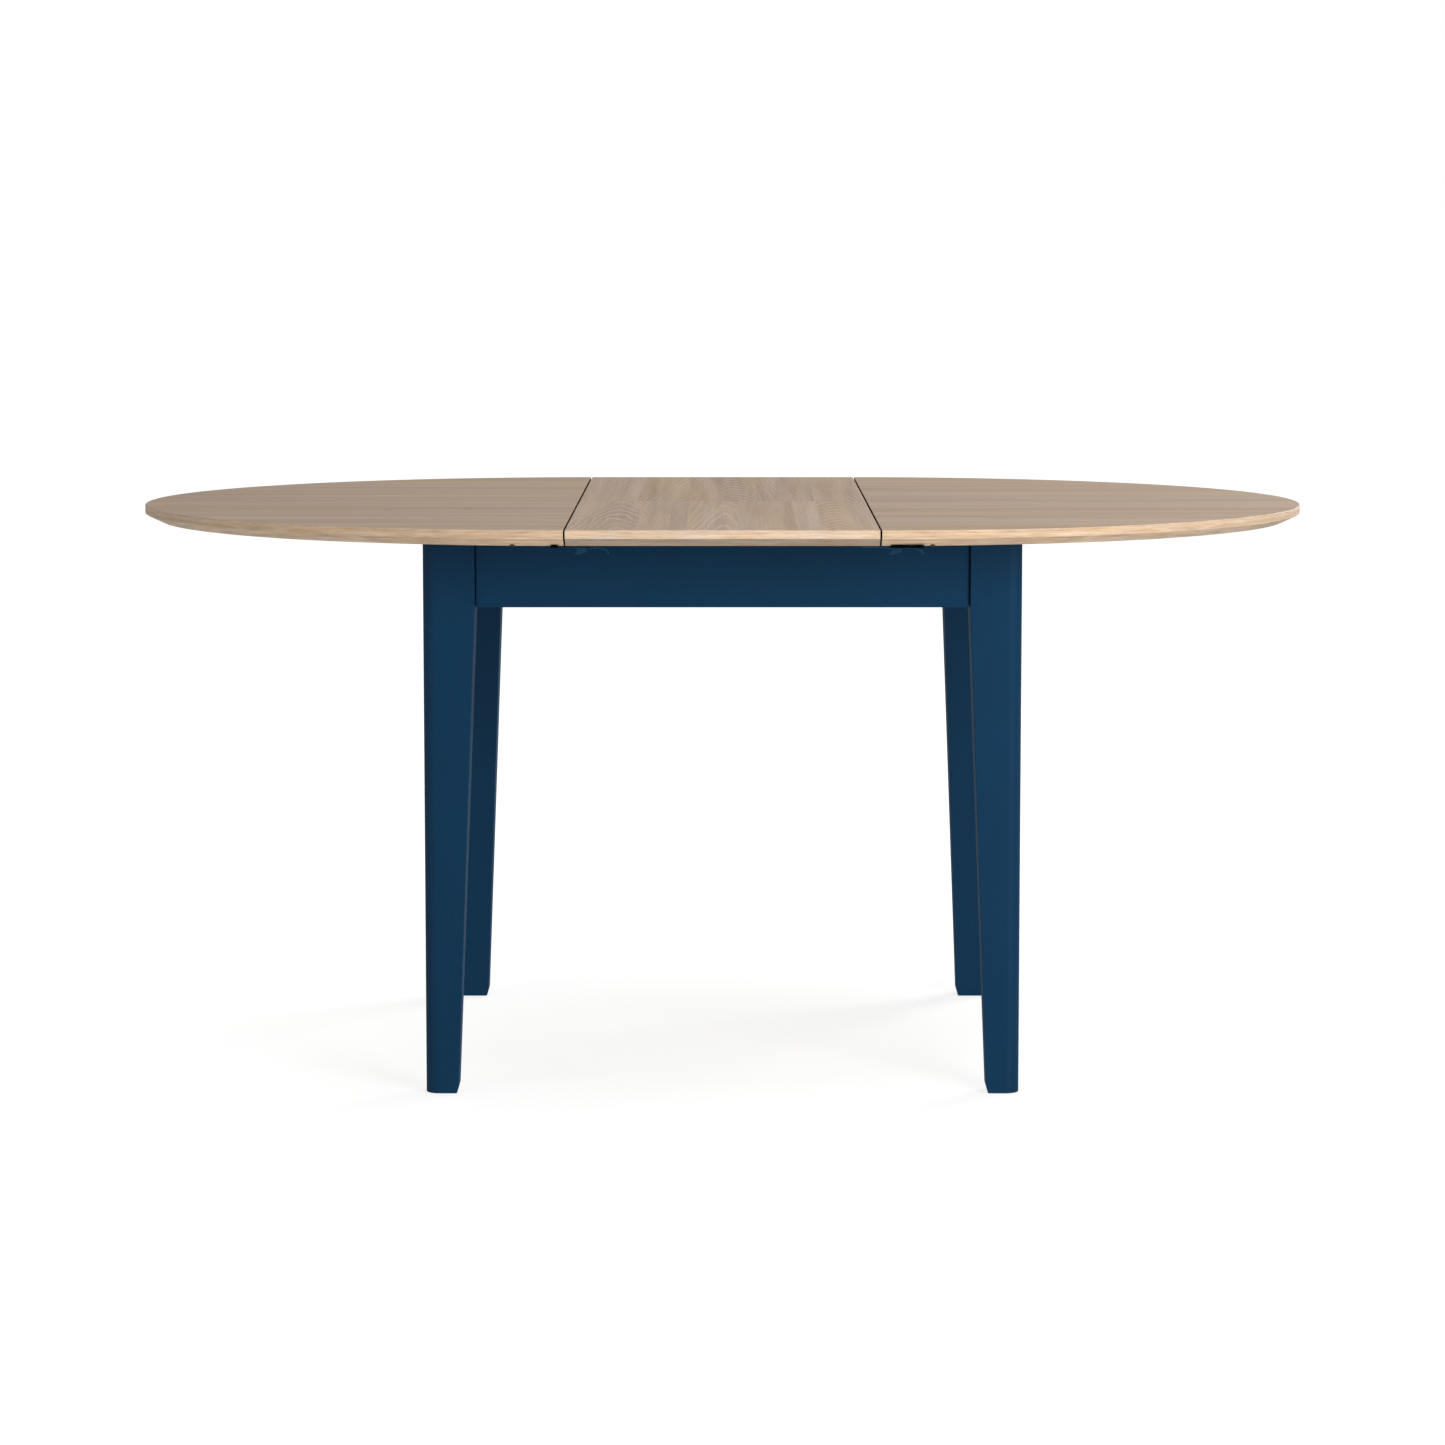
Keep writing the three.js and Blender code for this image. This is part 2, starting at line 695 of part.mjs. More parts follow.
for (const side of SIDES) {
  const mirrored = placed(table, { scale: [side.x, 1, 1] });
  mirrored.add(mesh(`${side.name}_apron`, shortApronGeometry, PAINT));
  mirrored.add(mesh(`${side.name}_leaf_bearer`, bearerGeometry, BEECH));
  mirrored.add(mesh(`${side.name}_half_top`, halfGeometry, OAK));

  for (const end of ENDS) {
    const label = `${end.name}_${side.name}`;
    const corner = placed(table, { scale: [side.x, end.y, 1] });
    corner.add(mesh(`leg_${label}`, legGeometry, PAINT));
    corner.add(mesh(`foot_glide_${label}`, glideGeometry, NYLON));
    corner.add(mesh(`corner_block_${label}`, blockGeometry, BEECH));
    corner.add(mesh(`corner_bolt_${label}`, boltGeometry, ZINC));

    const pinned = placed(table, {
      scale: [side.x, 1, 1],
      position: [0, end.y * PIN_OFFSET, 0],
    });
    pinned.add(mesh(`alignment_pin_${label}`, pinGeometry, BRASS));

    const lane = placed(table, {
      scale: [side.x, side.x, 1],
      position: [0, end.y * BEAM_OFFSET, 0],
    });
    lane.add(mesh(`runner_${label}`, runnerGeometry, BEECH));

    const clip = placed(table, {
      scale: [1, end.y, 1],
      position: [side.x * SEAM_X, end.y * CLIP_OFFSET, UNDERSIDE],
    });
    clip.add(mesh(`clip_bracket_${label}`, side.bracket, STEEL));
    clip.add(mesh(`clip_lever_${label}`, leverGeometry, STEEL));
    clip.add(mesh(`clip_pin_${label}`, clipPinGeometry, STEEL));
    clip.add(mesh(`clip_keeper_${label}`, side.keeper, STEEL));

    const hinge = placed(table, {
      scale: [1, end.y, 1],
      position: [side.x * BARREL_OFFSET, 0, 0],
    });
    hinge.add(mesh(`hinge_barrel_${label}`, barrelGeometry, ZINC));
  }
}

for (const end of ENDS) {
  const mirrored = placed(table, { scale: [1, end.y, 1] });
  mirrored.add(mesh(`${end.name}_apron`, longApronGeometry, PAINT));
  mirrored.add(mesh(`${end.name}_leaf_panel`, panelGeometry, OAK));
  const beam = placed(table, { position: [0, end.y * BEAM_OFFSET, 0] });
  beam.add(mesh(`${end.name}_slide_beam`, beamGeometry, BEECH));
}

export default table;
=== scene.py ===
"""Round extending dining table in pale oak and dark blue paint: its looks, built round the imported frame.

Metres, in the frame's own axes: +X along the table, -Y its front, +Z up.
"""

import json
import math

import bmesh
import bpy
from mathutils import Matrix, Vector

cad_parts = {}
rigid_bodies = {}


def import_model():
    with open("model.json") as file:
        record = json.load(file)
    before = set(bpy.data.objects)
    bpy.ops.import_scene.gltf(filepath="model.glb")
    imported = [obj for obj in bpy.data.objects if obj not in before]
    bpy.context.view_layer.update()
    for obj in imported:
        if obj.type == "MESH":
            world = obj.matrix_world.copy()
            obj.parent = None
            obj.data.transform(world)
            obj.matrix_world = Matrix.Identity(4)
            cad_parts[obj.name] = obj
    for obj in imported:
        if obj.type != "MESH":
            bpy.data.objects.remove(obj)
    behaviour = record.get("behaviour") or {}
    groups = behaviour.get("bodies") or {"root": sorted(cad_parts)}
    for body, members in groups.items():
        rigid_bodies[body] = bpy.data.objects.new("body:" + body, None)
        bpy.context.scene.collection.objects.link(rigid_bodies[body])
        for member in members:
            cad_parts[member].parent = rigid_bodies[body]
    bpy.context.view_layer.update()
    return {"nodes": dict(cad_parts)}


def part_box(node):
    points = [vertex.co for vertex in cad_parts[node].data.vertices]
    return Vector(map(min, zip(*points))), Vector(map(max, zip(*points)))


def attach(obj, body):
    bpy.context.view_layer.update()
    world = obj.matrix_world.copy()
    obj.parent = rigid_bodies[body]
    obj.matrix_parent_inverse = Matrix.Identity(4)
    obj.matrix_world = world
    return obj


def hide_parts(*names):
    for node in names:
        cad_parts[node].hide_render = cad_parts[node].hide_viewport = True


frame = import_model()

SIDES = {"left": -1, "right": 1}
ENDS = {"front": -1, "rear": 1}
CORNERS = [(f"{end}_{side}", x, y) for side, x in SIDES.items() for end, y in ENDS.items()]
LABELS = [label for label, x, y in CORNERS]
MM = 0.001

# ---- Sizes, from the frame ----

half_lo, half_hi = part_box("right_half_top")
panel_lo, panel_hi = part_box("rear_leaf_panel")
leg_lo, leg_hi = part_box("leg_rear_right")
long_apron_lo, long_apron_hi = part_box("rear_apron")
short_apron_lo, short_apron_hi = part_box("right_apron")

TOP = half_hi.z
UNDERSIDE = half_lo.z
RADIUS = half_hi.y
SEAM = half_hi.x - RADIUS
BEVEL_HEIGHT = 10.3 * MM
BEVEL_INSET = 21.7 * MM
BAND_BOTTOM = UNDERSIDE + BEVEL_HEIGHT

LEG_FOOT_WIDTH = 43.4 * MM
LEG_CORNER_RADIUS = 18 * MM
FOOT_CHAMFER_WIDTH = 2.2 * MM
FOOT_CHAMFER_HEIGHT = 9 * MM
APRON_BOTTOM = long_apron_lo.z
TENON_THICKNESS = 12 * MM
TENON_HEIGHT = 88 * MM
TENON_DEPTH = 14 * MM
SHADOW_GAP = 1.2 * MM
FIT = 0.3 * MM  # between a piece and the hole that it sits in
PAST = 1 * MM  # how far a cutting tool reaches past the face that it cuts

WHITE = (1.0, 1.0, 1.0)


# ---- Material nodes ----

class Graph:
    """One material's node tree, with short calls for the nodes that it uses."""

    def __init__(self, name):
        self.material = bpy.data.materials.new(name)
        self.material.use_nodes = True
        self.tree = self.material.node_tree
        self.tree.nodes.clear()
        self.shader = self.add("ShaderNodeBsdfPrincipled")
        output = self.add("ShaderNodeOutputMaterial")
        self.link(self.shader.outputs[0], output.inputs[0])

    def add(self, kind, **settings):
        node = self.tree.nodes.new(kind)
        for key, value in settings.items():
            setattr(node, key, value)
        return node

    def link(self, source, target):
        self.tree.links.new(source, target)

    def feed(self, socket, value):
        """Links a socket, or sets a plain value."""
        if isinstance(value, bpy.types.NodeSocket):
            self.link(value, socket)
        else:
            socket.default_value = value

    def math(self, operation, a, b=0.0, c=0.0):
        node = self.add("ShaderNodeMath", operation=operation)
        for socket, value in zip(node.inputs, (a, b, c)):
            self.feed(socket, value)
        return node.outputs[0]

    def vary(self, base, *parts):
        """Adds to base each (noise, strength), counted from the noise's middle."""
        for noise, strength in parts:
            base = self.math("MULTIPLY_ADD", self.math("SUBTRACT", noise, 0.5), strength, base)
        return base

    def vector(self, x, y, z):
        node = self.add("ShaderNodeCombineXYZ")
        for socket, value in zip(node.inputs, (x, y, z)):
            self.feed(socket, value)
        return node.outputs[0]

    def axes(self, along="x"):
        """The piece's own x, y and z in metres, with the axis that the grain follows put first."""
        coordinates = self.add("ShaderNodeTexCoord")
        split = self.add("ShaderNodeSeparateXYZ")
        self.link(coordinates.outputs["Object"], split.inputs[0])
        x, y, z = split.outputs
        return {"x": (x, y, z), "y": (y, x, z), "z": (z, x, y)}[along]

    def noise(self, vector, scale=1.0, detail=2.0, roughness=0.5):
        node = self.add("ShaderNodeTexNoise")
        self.feed(node.inputs["Vector"], vector)
        node.inputs["Scale"].default_value = scale
        node.inputs["Detail"].default_value = detail
        node.inputs["Roughness"].default_value = roughness
        return node.outputs["Fac"]

    def grain(self, along, across, scales, third, detail=2.0, roughness=0.5):
        """Noise whose scales, in waves per metre, differ along and across. third picks its slice."""
        stretched = [self.math("MULTIPLY", axis, scale) for axis, scale in zip((along, across), scales)]
        return self.noise(self.vector(*stretched, third), detail=detail, roughness=roughness)

    def stretched(self, axes, along_scale, across_scale, detail=2.0, roughness=0.5):
        """Noise with one scale along the first axis and another along the other two."""
        along, across, other = axes
        third = self.math("MULTIPLY", other, across_scale)
        return self.grain(along, across, (along_scale, across_scale), third, detail, roughness)

    def ramp(self, fac, stops, interpolation="LINEAR"):
        """A colour ramp through (position, colour) stops. A plain number stands for a grey."""
        node = self.add("ShaderNodeValToRGB")
        self.feed(node.inputs[0], fac)
        ramp = node.color_ramp
        ramp.interpolation = interpolation
        while len(ramp.elements) < len(stops):
            ramp.elements.new(1.0)
        for element, (position, colour) in zip(ramp.elements, stops):
            if isinstance(colour, float):
                colour = (colour, colour, colour)
            element.position = position
            element.color = rgba(colour)
        return node.outputs[0]

    def mix(self, fac, a, b, blend="MIX"):
        node = self.add("ShaderNodeMix", data_type="RGBA", blend_type=blend)
        node.clamp_factor = True
        self.feed(node.inputs[0], fac)
        self.feed(node.inputs[6], a)
        self.feed(node.inputs[7], b)
        return node.outputs[2]

    def multiply(self, colour, by, amount=1.0):
        return self.mix(amount, colour, by, "MULTIPLY")

    def bump(self, height, strength, distance):
        node = self.add("ShaderNodeBump")
        node.inputs["Strength"].default_value = strength
        node.inputs["Distance"].default_value = distance
        self.feed(node.inputs["Height"], height)
        self.link(node.outputs[0], self.shader.inputs["Normal"])

    def set(self, **values):
        for key, value in values.items():
            self.feed(self.shader.inputs[key.replace("_", " ")], value)


def srgb(r, g, b):
    """A colour given in 0..255 display values, as linear light."""
    def linear(v):
        v /= 255
        return v / 12.92 if v <= 0.04045 else ((v + 0.055) / 1.055) ** 2.4
    return (linear(r), linear(g), linear(b))


def rgba(colour):
    return (*colour, 1.0)


def scaled(colour, factor):
    return tuple(factor * channel for channel in colour)


# ---- Oak ----

# Waves per metre along and across the grain, for each kind of mark on a board.
DRIFT = (3.5, 9.0)
RIPPLE = (3.0, 45.0)
PATCH = (4.0, 14.0)
FIBRE = (7.0, 420.0)
FIBRE_DEEP = 300.0
STREAK = (1.6, 60.0)
BROAD_STREAK = (0.9, 24.0)
WARMTH = (1.2, 16.0)
PORE = (55.0, 1500.0)
# The same on lipping, where across is up the edge.
EDGE_FIBRE = (26.0, 520.0)
EDGE_STREAK = (6.0, 230.0)
EDGE_PATCH = (8.0, 12.0)
EDGE_WARMTH = (14.0, 160.0)
EDGE_PORE = (70.0, 1600.0)

COOL_TINT = (0.99, 1.0, 1.055)
WARM_TINT = (1.005, 0.955, 0.875)
PORE_TINT = (0.62, 0.5, 0.4)
EDGE_PORE_TINT = (0.62, 0.48, 0.36)
# Painted shade on the seam faces: their colour deep in a narrow gap, the reach of a piece that shades them,
# and how fast the shade falls off.
GAP_SHADE = (0.012, 0.007, 0.004)
GAP_REACH = 12 * MM  # how far off a piece may be and still paint shade on the face
GAP_FALL = 3.5
OAK_GLOSS = 0.3
# One growth ring, from its start to its end: the pale line is the late wood.
RING = [(0.0, 0.35), (0.3, 0.4), (0.68, 0.5), (0.84, 1.0), (1.0, 0.35)]


def board_stops(boards, low, high):
    """Ramp stops for boards given as (start, tone, figure).

    A stop's red is the board's tone, its green the figure, and its blue the place of its middle."""
    stops = []
    ends = [board[0] for board in boards[1:]] + [high]
    for (start, tone, figure), end in zip(boards, ends):
        middle = ((start + end) / 2 - low) / (high - low)
        position = (start - low) / (high - low)
        stops.append((position, (tone, figure, middle)))
    return stops


def tinted(g, colour, warmth):
    """The colour with cooler and warmer patches."""
    warm = g.ramp(warmth, [(0.35, 0.0), (0.65, 1.0)])
    return g.multiply(colour, g.mix(warm, rgba(COOL_TINT), rgba(WARM_TINT)))


def growth_rings(g, along, across, place, span, seed, middle, ring_pitch, arch):
    """Nested arches where a board was cut near the heart and straight lines where it was not, 0 to 1."""
    low, high = span
    own = g.math("MULTIPLY", seed, 17.0)
    from_middle = g.math("MULTIPLY", g.math("SUBTRACT", place, middle), high - low)
    off_heart = g.math("MULTIPLY", g.math("SINE", g.math("MULTIPLY", seed, 40.0)), 0.06)
    drift = g.grain(along, across, DRIFT, own, detail=1)
    side = g.vary(g.math("ADD", from_middle, off_heart), (drift, 0.03))
    own_arch = g.math("MULTIPLY_ADD", g.math("SINE", g.math("MULTIPLY", seed, 91.0)), 0.6 * arch, arch)
    climb = g.math("MULTIPLY", g.math("ADD", along, g.math("SINE", own)), own_arch)
    rounding = g.math("SQRT", g.math("MULTIPLY_ADD", side, side, 0.0003))
    distance = g.math("ADD", rounding, climb)
    ripple = g.grain(along, across, RIPPLE, own)
    phase = g.math("MULTIPLY_ADD", ripple, 1.1, g.math("DIVIDE", distance, ring_pitch))
    return g.ramp(g.math("FRACT", phase), RING)


def oak(name, grain, boards, span, ring_pitch, arch, contrast, other_boards=None, in_gap=False):
    """Lacquered oak in boards. grain is the axis along the boards, and span their lowest and highest edge.

    A board's figure, from 0 to 1, is how strongly its rings show, and it also seeds its other numbers.
    other_boards, if given, is the layout where y is above 0. in_gap paints shade on faces where another
    piece stands close to them: they go dark brown and lose their gloss, as deep in a narrow seam gap."""
    g = Graph(name)
    along, across, z = g.axes(grain)
    low, high = span
    place = g.math("MULTIPLY_ADD", across, 1 / (high - low), -low / (high - low))
    layout = g.ramp(place, board_stops(boards, low, high), "CONSTANT")
    if other_boards:
        behind = g.math("GREATER_THAN", along, 0.0)
        second = g.ramp(place, board_stops(other_boards, low, high), "CONSTANT")
        layout = g.mix(behind, layout, second)
    split = g.add("ShaderNodeSeparateColor")
    g.link(layout, split.inputs[0])
    tone, figure, middle = split.outputs
    seed = figure
    if other_boards:
        seed = g.math("ADD", figure, g.math("MULTIPLY", behind, 3.37))

    late = growth_rings(g, along, across, place, span, seed, middle, ring_pitch, arch)
    own = g.math("MULTIPLY", seed, 17.0)
    patch = g.grain(along, across, PATCH, own, detail=1)
    clear = g.math("MULTIPLY", g.math("MULTIPLY_ADD", patch, 2.4, -0.35), figure)
    ring_here = g.math("MULTIPLY", g.math("SUBTRACT", late, 0.5), clear)
    deep = g.math("MULTIPLY_ADD", z, FIBRE_DEEP, own)
    fibre = g.grain(along, across, FIBRE, deep, detail=4, roughness=0.6)
    streak = g.grain(along, across, STREAK, own, detail=3)
    broad = g.grain(along, across, BROAD_STREAK, own)
    pore = g.ramp(g.grain(along, across, PORE, own, detail=1), [(0.0, 1.0), (0.33, 1.0), (0.42, 0.0)])
    pore_here = g.math("MULTIPLY", pore, g.math("MULTIPLY_ADD", late, -0.6, 1.0))

    shade = g.math("MULTIPLY_ADD", ring_here, contrast, tone)
    shade = g.vary(shade, (streak, 0.7), (broad, 0.65), (fibre, 0.6))
    colour = g.mix(shade, rgba(OAK_DARK), rgba(OAK_LIGHT))
    colour = tinted(g, colour, g.grain(along, across, WARMTH, own, detail=3))
    colour = g.multiply(colour, rgba(PORE_TINT), g.math("MULTIPLY", pore_here, 0.3))
    # Painted shade: close to another piece the colour goes to GAP_SHADE and the gloss goes too, as in the
    # shaded seam gap.
    if in_gap:
        hollow = g.add("ShaderNodeAmbientOcclusion", samples=8)
        hollow.inputs["Distance"].default_value = GAP_REACH
        open_air = g.math("POWER", hollow.outputs["AO"], GAP_FALL)
        colour = g.mix(open_air, rgba(GAP_SHADE), colour)
    height = g.math("ADD", g.math("MULTIPLY", fibre, 0.6), g.math("MULTIPLY", pore_here, -0.8))
    g.bump(height, 0.2, 0.4 * MM)
    g.set(Base_Color=colour, Roughness=g.math("MULTIPLY_ADD", fibre, 0.14, 0.48))
    g.set(Specular_IOR_Level=0.0 if in_gap else OAK_GLOSS)
    return g.material


def lipping(name, round_edge, light, dark, bevel_light_factor):
    """Oak edging whose grain follows the edge: round the half tops, or straight along the leaf's ends.

    The last factor multiplies the colour of the sloping part below the upright band, which faces down:
    painted light above 1 and painted shade below 1, on the same oak as the band."""
    g = Graph(name)
    x, y, z = g.axes()
    along = x
    if round_edge:
        beyond = g.math("SUBTRACT", g.math("ABSOLUTE", x), SEAM)
        along = g.math("MULTIPLY", g.math("ARCTAN2", beyond, y), RADIUS)
    fibre = g.grain(along, z, EDGE_FIBRE, 0.0, detail=4, roughness=0.6)
    streak = g.grain(along, z, EDGE_STREAK, 7.0)
    patch = g.grain(along, z, EDGE_PATCH, 2.0)
    pore = g.ramp(g.grain(along, z, EDGE_PORE, 5.0, detail=1), [(0.0, 1.0), (0.34, 1.0), (0.43, 0.0)])
    shade = g.vary(0.5, (streak, 0.9), (fibre, 1.6), (patch, 0.4))
    colour = g.mix(shade, rgba(dark), rgba(light))
    colour = tinted(g, colour, g.grain(along, z, EDGE_WARMTH, 9.0))
    colour = g.multiply(colour, rgba(EDGE_PORE_TINT), g.math("MULTIPLY", pore, 0.25))
    # Painted light and shade: the down-facing bevel below the band gets its own brightness factor, though it
    # is the same oak.
    on_bevel = g.math("LESS_THAN", z, BAND_BOTTOM)
    colour = g.multiply(colour, rgba(bevel_light_factor), on_bevel)
    g.bump(g.math("ADD", fibre, g.math("MULTIPLY", pore, -0.7)), 0.2, 0.3 * MM)
    g.set(Base_Color=colour, Roughness=g.math("MULTIPLY_ADD", fibre, 0.15, 0.48))
    g.set(Specular_IOR_Level=OAK_GLOSS)
    return g.material


# ---- Paint, hardwood and metals ----

def painted_wood(name, grain, colour):
    """Satin paint through which the wood's grain shows faintly."""
    g = Graph(name)
    axes = g.axes(grain)
    cloud = g.stretched(axes, 5.0, 14.0, detail=3)
    grain_lines = g.stretched(axes, 5.0, 260.0, detail=4, roughness=0.6)
    fine = g.stretched(axes, 60.0, 1400.0)
    peel = g.stretched(axes, 500.0, 500.0, detail=1)
    shade = g.vary(0.5, (cloud, 0.5), (grain_lines, 0.22))
    g.set(Base_Color=g.mix(shade, rgba(scaled(colour, 0.72)), rgba(scaled(colour, 1.3))))
    height = g.math("ADD", g.math("MULTIPLY", grain_lines, 0.5), g.math("MULTIPLY", fine, 0.25))
    g.bump(g.math("MULTIPLY_ADD", peel, 0.2, height), 0.2, 0.4 * MM)
    g.set(Roughness=g.math("MULTIPLY_ADD", cloud, 0.12, 0.46))
    g.set(Specular_IOR_Level=0.14)
    return g.material


def hardwood(name, grain):
    """Planed beech: pinkish tan, with fine flecks along the grain."""
    g = Graph(name)
    axes = g.axes(grain)
    broad = g.stretched(axes, 2.0, 40.0, detail=3)
    flecks = g.ramp(g.stretched(axes, 120.0, 900.0, detail=1), [(0.0, 1.0), (0.36, 1.0), (0.42, 0.0)])
    colour = g.mix(broad, rgba(BEECH_DARK), rgba(BEECH_LIGHT))
    colour = g.multiply(colour, rgba(BEECH_FLECK), g.math("MULTIPLY", flecks, 0.35))
    g.bump(g.math("MULTIPLY_ADD", flecks, -0.5, broad), 0.2, 0.4 * MM)
    g.set(Base_Color=colour, Roughness=g.math("MULTIPLY_ADD", broad, 0.15, 0.55))
    return g.material


def metal(name, colour, roughness, scratches, edge=WHITE):
    """Worked metal with brushed scratches and a patchy film. edge tints what it mirrors at a low angle."""
    g = Graph(name)
    axes = g.axes()
    scratch = g.stretched(axes, 300.0, 2600.0)
    film = g.noise(g.vector(*axes), scale=220.0, detail=3)
    g.set(Base_Color=g.mix(film, rgba(scaled(colour, 0.7)), rgba(colour)))
    g.set(Metallic=1.0, Specular_Tint=rgba(edge))
    g.set(Roughness=g.math("MULTIPLY_ADD", film, 0.2, roughness - 0.1))
    g.bump(scratch, scratches, 0.2 * MM)
    return g.material


def nylon(name):
    """Black moulded nylon with a fine grit."""
    g = Graph(name)
    grit = g.noise(g.vector(*g.axes()), scale=900.0, detail=3)
    g.set(Base_Color=g.mix(grit, rgba(NYLON_DARK), rgba(NYLON_LIGHT)))
    g.set(Roughness=g.math("MULTIPLY_ADD", grit, 0.2, 0.5))
    g.bump(grit, 0.3, 0.2 * MM)
    return g.material


OAK_LIGHT = srgb(227, 204, 180)
OAK_DARK = srgb(167, 141, 118)
EDGE_LIGHT = srgb(225, 202, 175)
EDGE_DARK = srgb(172, 142, 109)
LEAF_EDGE_LIGHT = srgb(232, 212, 190)
LEAF_EDGE_DARK = srgb(180, 153, 124)
# Factors on the lippings' down-facing bevel: painted light on the round tops' edge, painted shade on the
# leaf's ends.
ROUND_BEVEL_PAINTED_LIGHT = (1.17, 1.17, 1.18)
LEAF_BEVEL_PAINTED_SHADE = (0.745, 0.72, 0.72)
BEECH_LIGHT = srgb(222, 190, 150)
BEECH_DARK = srgb(176, 135, 98)
BEECH_FLECK = srgb(170, 120, 84)
NAVY = (0.0022, 0.0305, 0.074)
NYLON_LIGHT = (0.03, 0.03, 0.031)
NYLON_DARK = (0.012, 0.012, 0.013)

# Veneer leaves of the half tops: where each starts from the table's middle line, its tone and figure.
HALF_BOARDS = [(-0.6, 0.5, 0.4), (-0.5, 0.54, 0.9), (-0.36, 0.48, 0.25), (-0.22, 0.43, 0.7),
               (-0.13, 0.56, 0.5), (-0.04, 0.48, 0.95), (0.06, 0.5, 0.35), (0.14, 0.57, 0.8),
               (0.21, 0.47, 0.3), (0.34, 0.52, 0.6), (0.47, 0.47, 0.45)]
# Staves of the leaf's two panels, from left to right.
FRONT_STAVES = [(-0.2, 0.56, 0.62), (-0.112, 0.53, 0.35), (-0.07, 0.56, 0.15), (-0.046, 0.61, 0.4),
                (0.0175, 0.55, 0.22), (0.095, 0.64, 0.1), (0.1275, 0.6, 0.7)]
REAR_STAVES = [(-0.2, 0.46, 0.3), (-0.1625, 0.5, 0.2), (-0.1175, 0.46, 0.5), (-0.05, 0.42, 0.8),
               (0.048, 0.48, 0.28), (0.1275, 0.56, 0.6)]

veneer = oak("oak_veneer", "x", HALF_BOARDS, (-RADIUS, RADIUS), ring_pitch=8 * MM, arch=0.05, contrast=0.5)
staves = oak("oak_staves", "y", FRONT_STAVES, (-SEAM, SEAM), ring_pitch=7.5 * MM, arch=0.09, contrast=1.5,
             other_boards=REAR_STAVES)
# The faces at the seams, with painted shade where the next piece stands close.
seam_face = oak("oak_seam_face", "y", FRONT_STAVES, (-SEAM, SEAM), ring_pitch=6.6 * MM, arch=0.16,
                contrast=0.6, other_boards=REAR_STAVES, in_gap=True)
round_lipping = lipping("oak_lipping_round", True, EDGE_LIGHT, EDGE_DARK, ROUND_BEVEL_PAINTED_LIGHT)
straight_lipping = lipping("oak_lipping_straight", False, LEAF_EDGE_LIGHT, LEAF_EDGE_DARK, LEAF_BEVEL_PAINTED_SHADE)
paint_up = painted_wood("navy_paint_upright", "z", NAVY)
paint_long = painted_wood("navy_paint_long", "x", NAVY)
paint_short = painted_wood("navy_paint_short", "y", NAVY)
beech_long = hardwood("beech_long", "x")
beech_short = hardwood("beech_short", "y")
clip_steel = metal("clip_steel", (0.045, 0.14, 0.235), roughness=0.5, scratches=0.2, edge=(0.25, 0.6, 1.0))
# Near-black steel with dim reflections: painted shade on the clip parts that sit in the shade against the
# underside.
shaded_clip_steel = metal("shaded_clip_steel", (0.006, 0.008, 0.01), roughness=0.6, scratches=0.2, edge=(0.05, 0.07, 0.09))
zinc = metal("zinc", (0.6, 0.61, 0.62), roughness=0.35, scratches=0.3)
brass = metal("brass", (0.68, 0.5, 0.22), roughness=0.3, scratches=0.25)
glide_nylon = nylon("glide_nylon")


# ---- Mesh work ----

def standing(place, axis):
    """Where a piece drawn about Z stands when its Z runs along the axis."""
    turn = Vector(axis).to_track_quat("Z", "Y")
    return Matrix.Translation(Vector(place)) @ turn.to_matrix().to_4x4()


def piece(name, mesh, materials, body, nodes=(), stance=None):
    """Makes an object of a finished mesh, rides it on its body, and hides the CAD nodes that it stands for.
    """
    made = bpy.data.objects.new(name, mesh)
    bpy.context.scene.collection.objects.link(made)
    if not mesh.materials:
        for material in materials:
            mesh.materials.append(material)
    if stance:
        made.matrix_world = stance
        bpy.context.view_layer.update()
    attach(made, body)
    if nodes:
        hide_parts(*nodes)
    return made


def mesh_of(bm, name):
    bmesh.ops.recalc_face_normals(bm, faces=bm.faces)
    mesh = bpy.data.meshes.new(name)
    bm.to_mesh(mesh)
    bm.free()
    return mesh


def box_mesh(lo, hi, name):
    bm = bmesh.new()
    lo, hi = Vector(lo), Vector(hi)
    size = hi - lo
    place = Matrix.Translation((lo + hi) / 2) @ Matrix.Diagonal((*size, 1.0))
    bmesh.ops.create_cube(bm, size=1.0, matrix=place)
    return mesh_of(bm, name)


def rod_mesh(start, axis, length, radius, name, segments=32):
    bm = bmesh.new()
    axis = Vector(axis).normalized()
    place = standing(Vector(start) + axis * length / 2, axis)
    bmesh.ops.create_cone(bm, cap_ends=True, segments=segments, radius1=radius, radius2=radius,
                          depth=length, matrix=place)
    return mesh_of(bm, name)


def loft(rings):
    """A closed body through rings of points that match one to one, with flat ends."""
    bm = bmesh.new()
    made = [[bm.verts.new(p) for p in ring] for ring in rings]
    for lower, upper in zip(made, made[1:]):
        count = len(lower)
        for i in range(count):
            j = (i + 1) % count
            bm.faces.new((lower[i], lower[j], upper[j], upper[i]))
    bm.faces.new(list(reversed(made[0])))
    bm.faces.new(made[-1])
    return bm


def with_cuts(mesh, tools, operation="DIFFERENCE"):
    """The mesh with each tool mesh cut from it or joined to it."""
    objects = bpy.context.scene.collection.objects
    body = bpy.data.objects.new("cutting", mesh)
    objects.link(body)
    helpers = []
    for i, tool in enumerate(tools):
        helper = bpy.data.objects.new(f"tool_{i}", tool)
        objects.link(helper)
        helpers.append(helper)
        modifier = body.modifiers.new(f"cut_{i}", "BOOLEAN")
        modifier.operation = operation
        modifier.solver = "EXACT"
        modifier.object = helper
    bpy.context.view_layer.update()
    depsgraph = bpy.context.evaluated_depsgraph_get()
    result = bpy.data.meshes.new_from_object(body.evaluated_get(depsgraph))
    result.materials.clear()
    for made in [body, *helpers]:
        bpy.data.objects.remove(made)
    return result


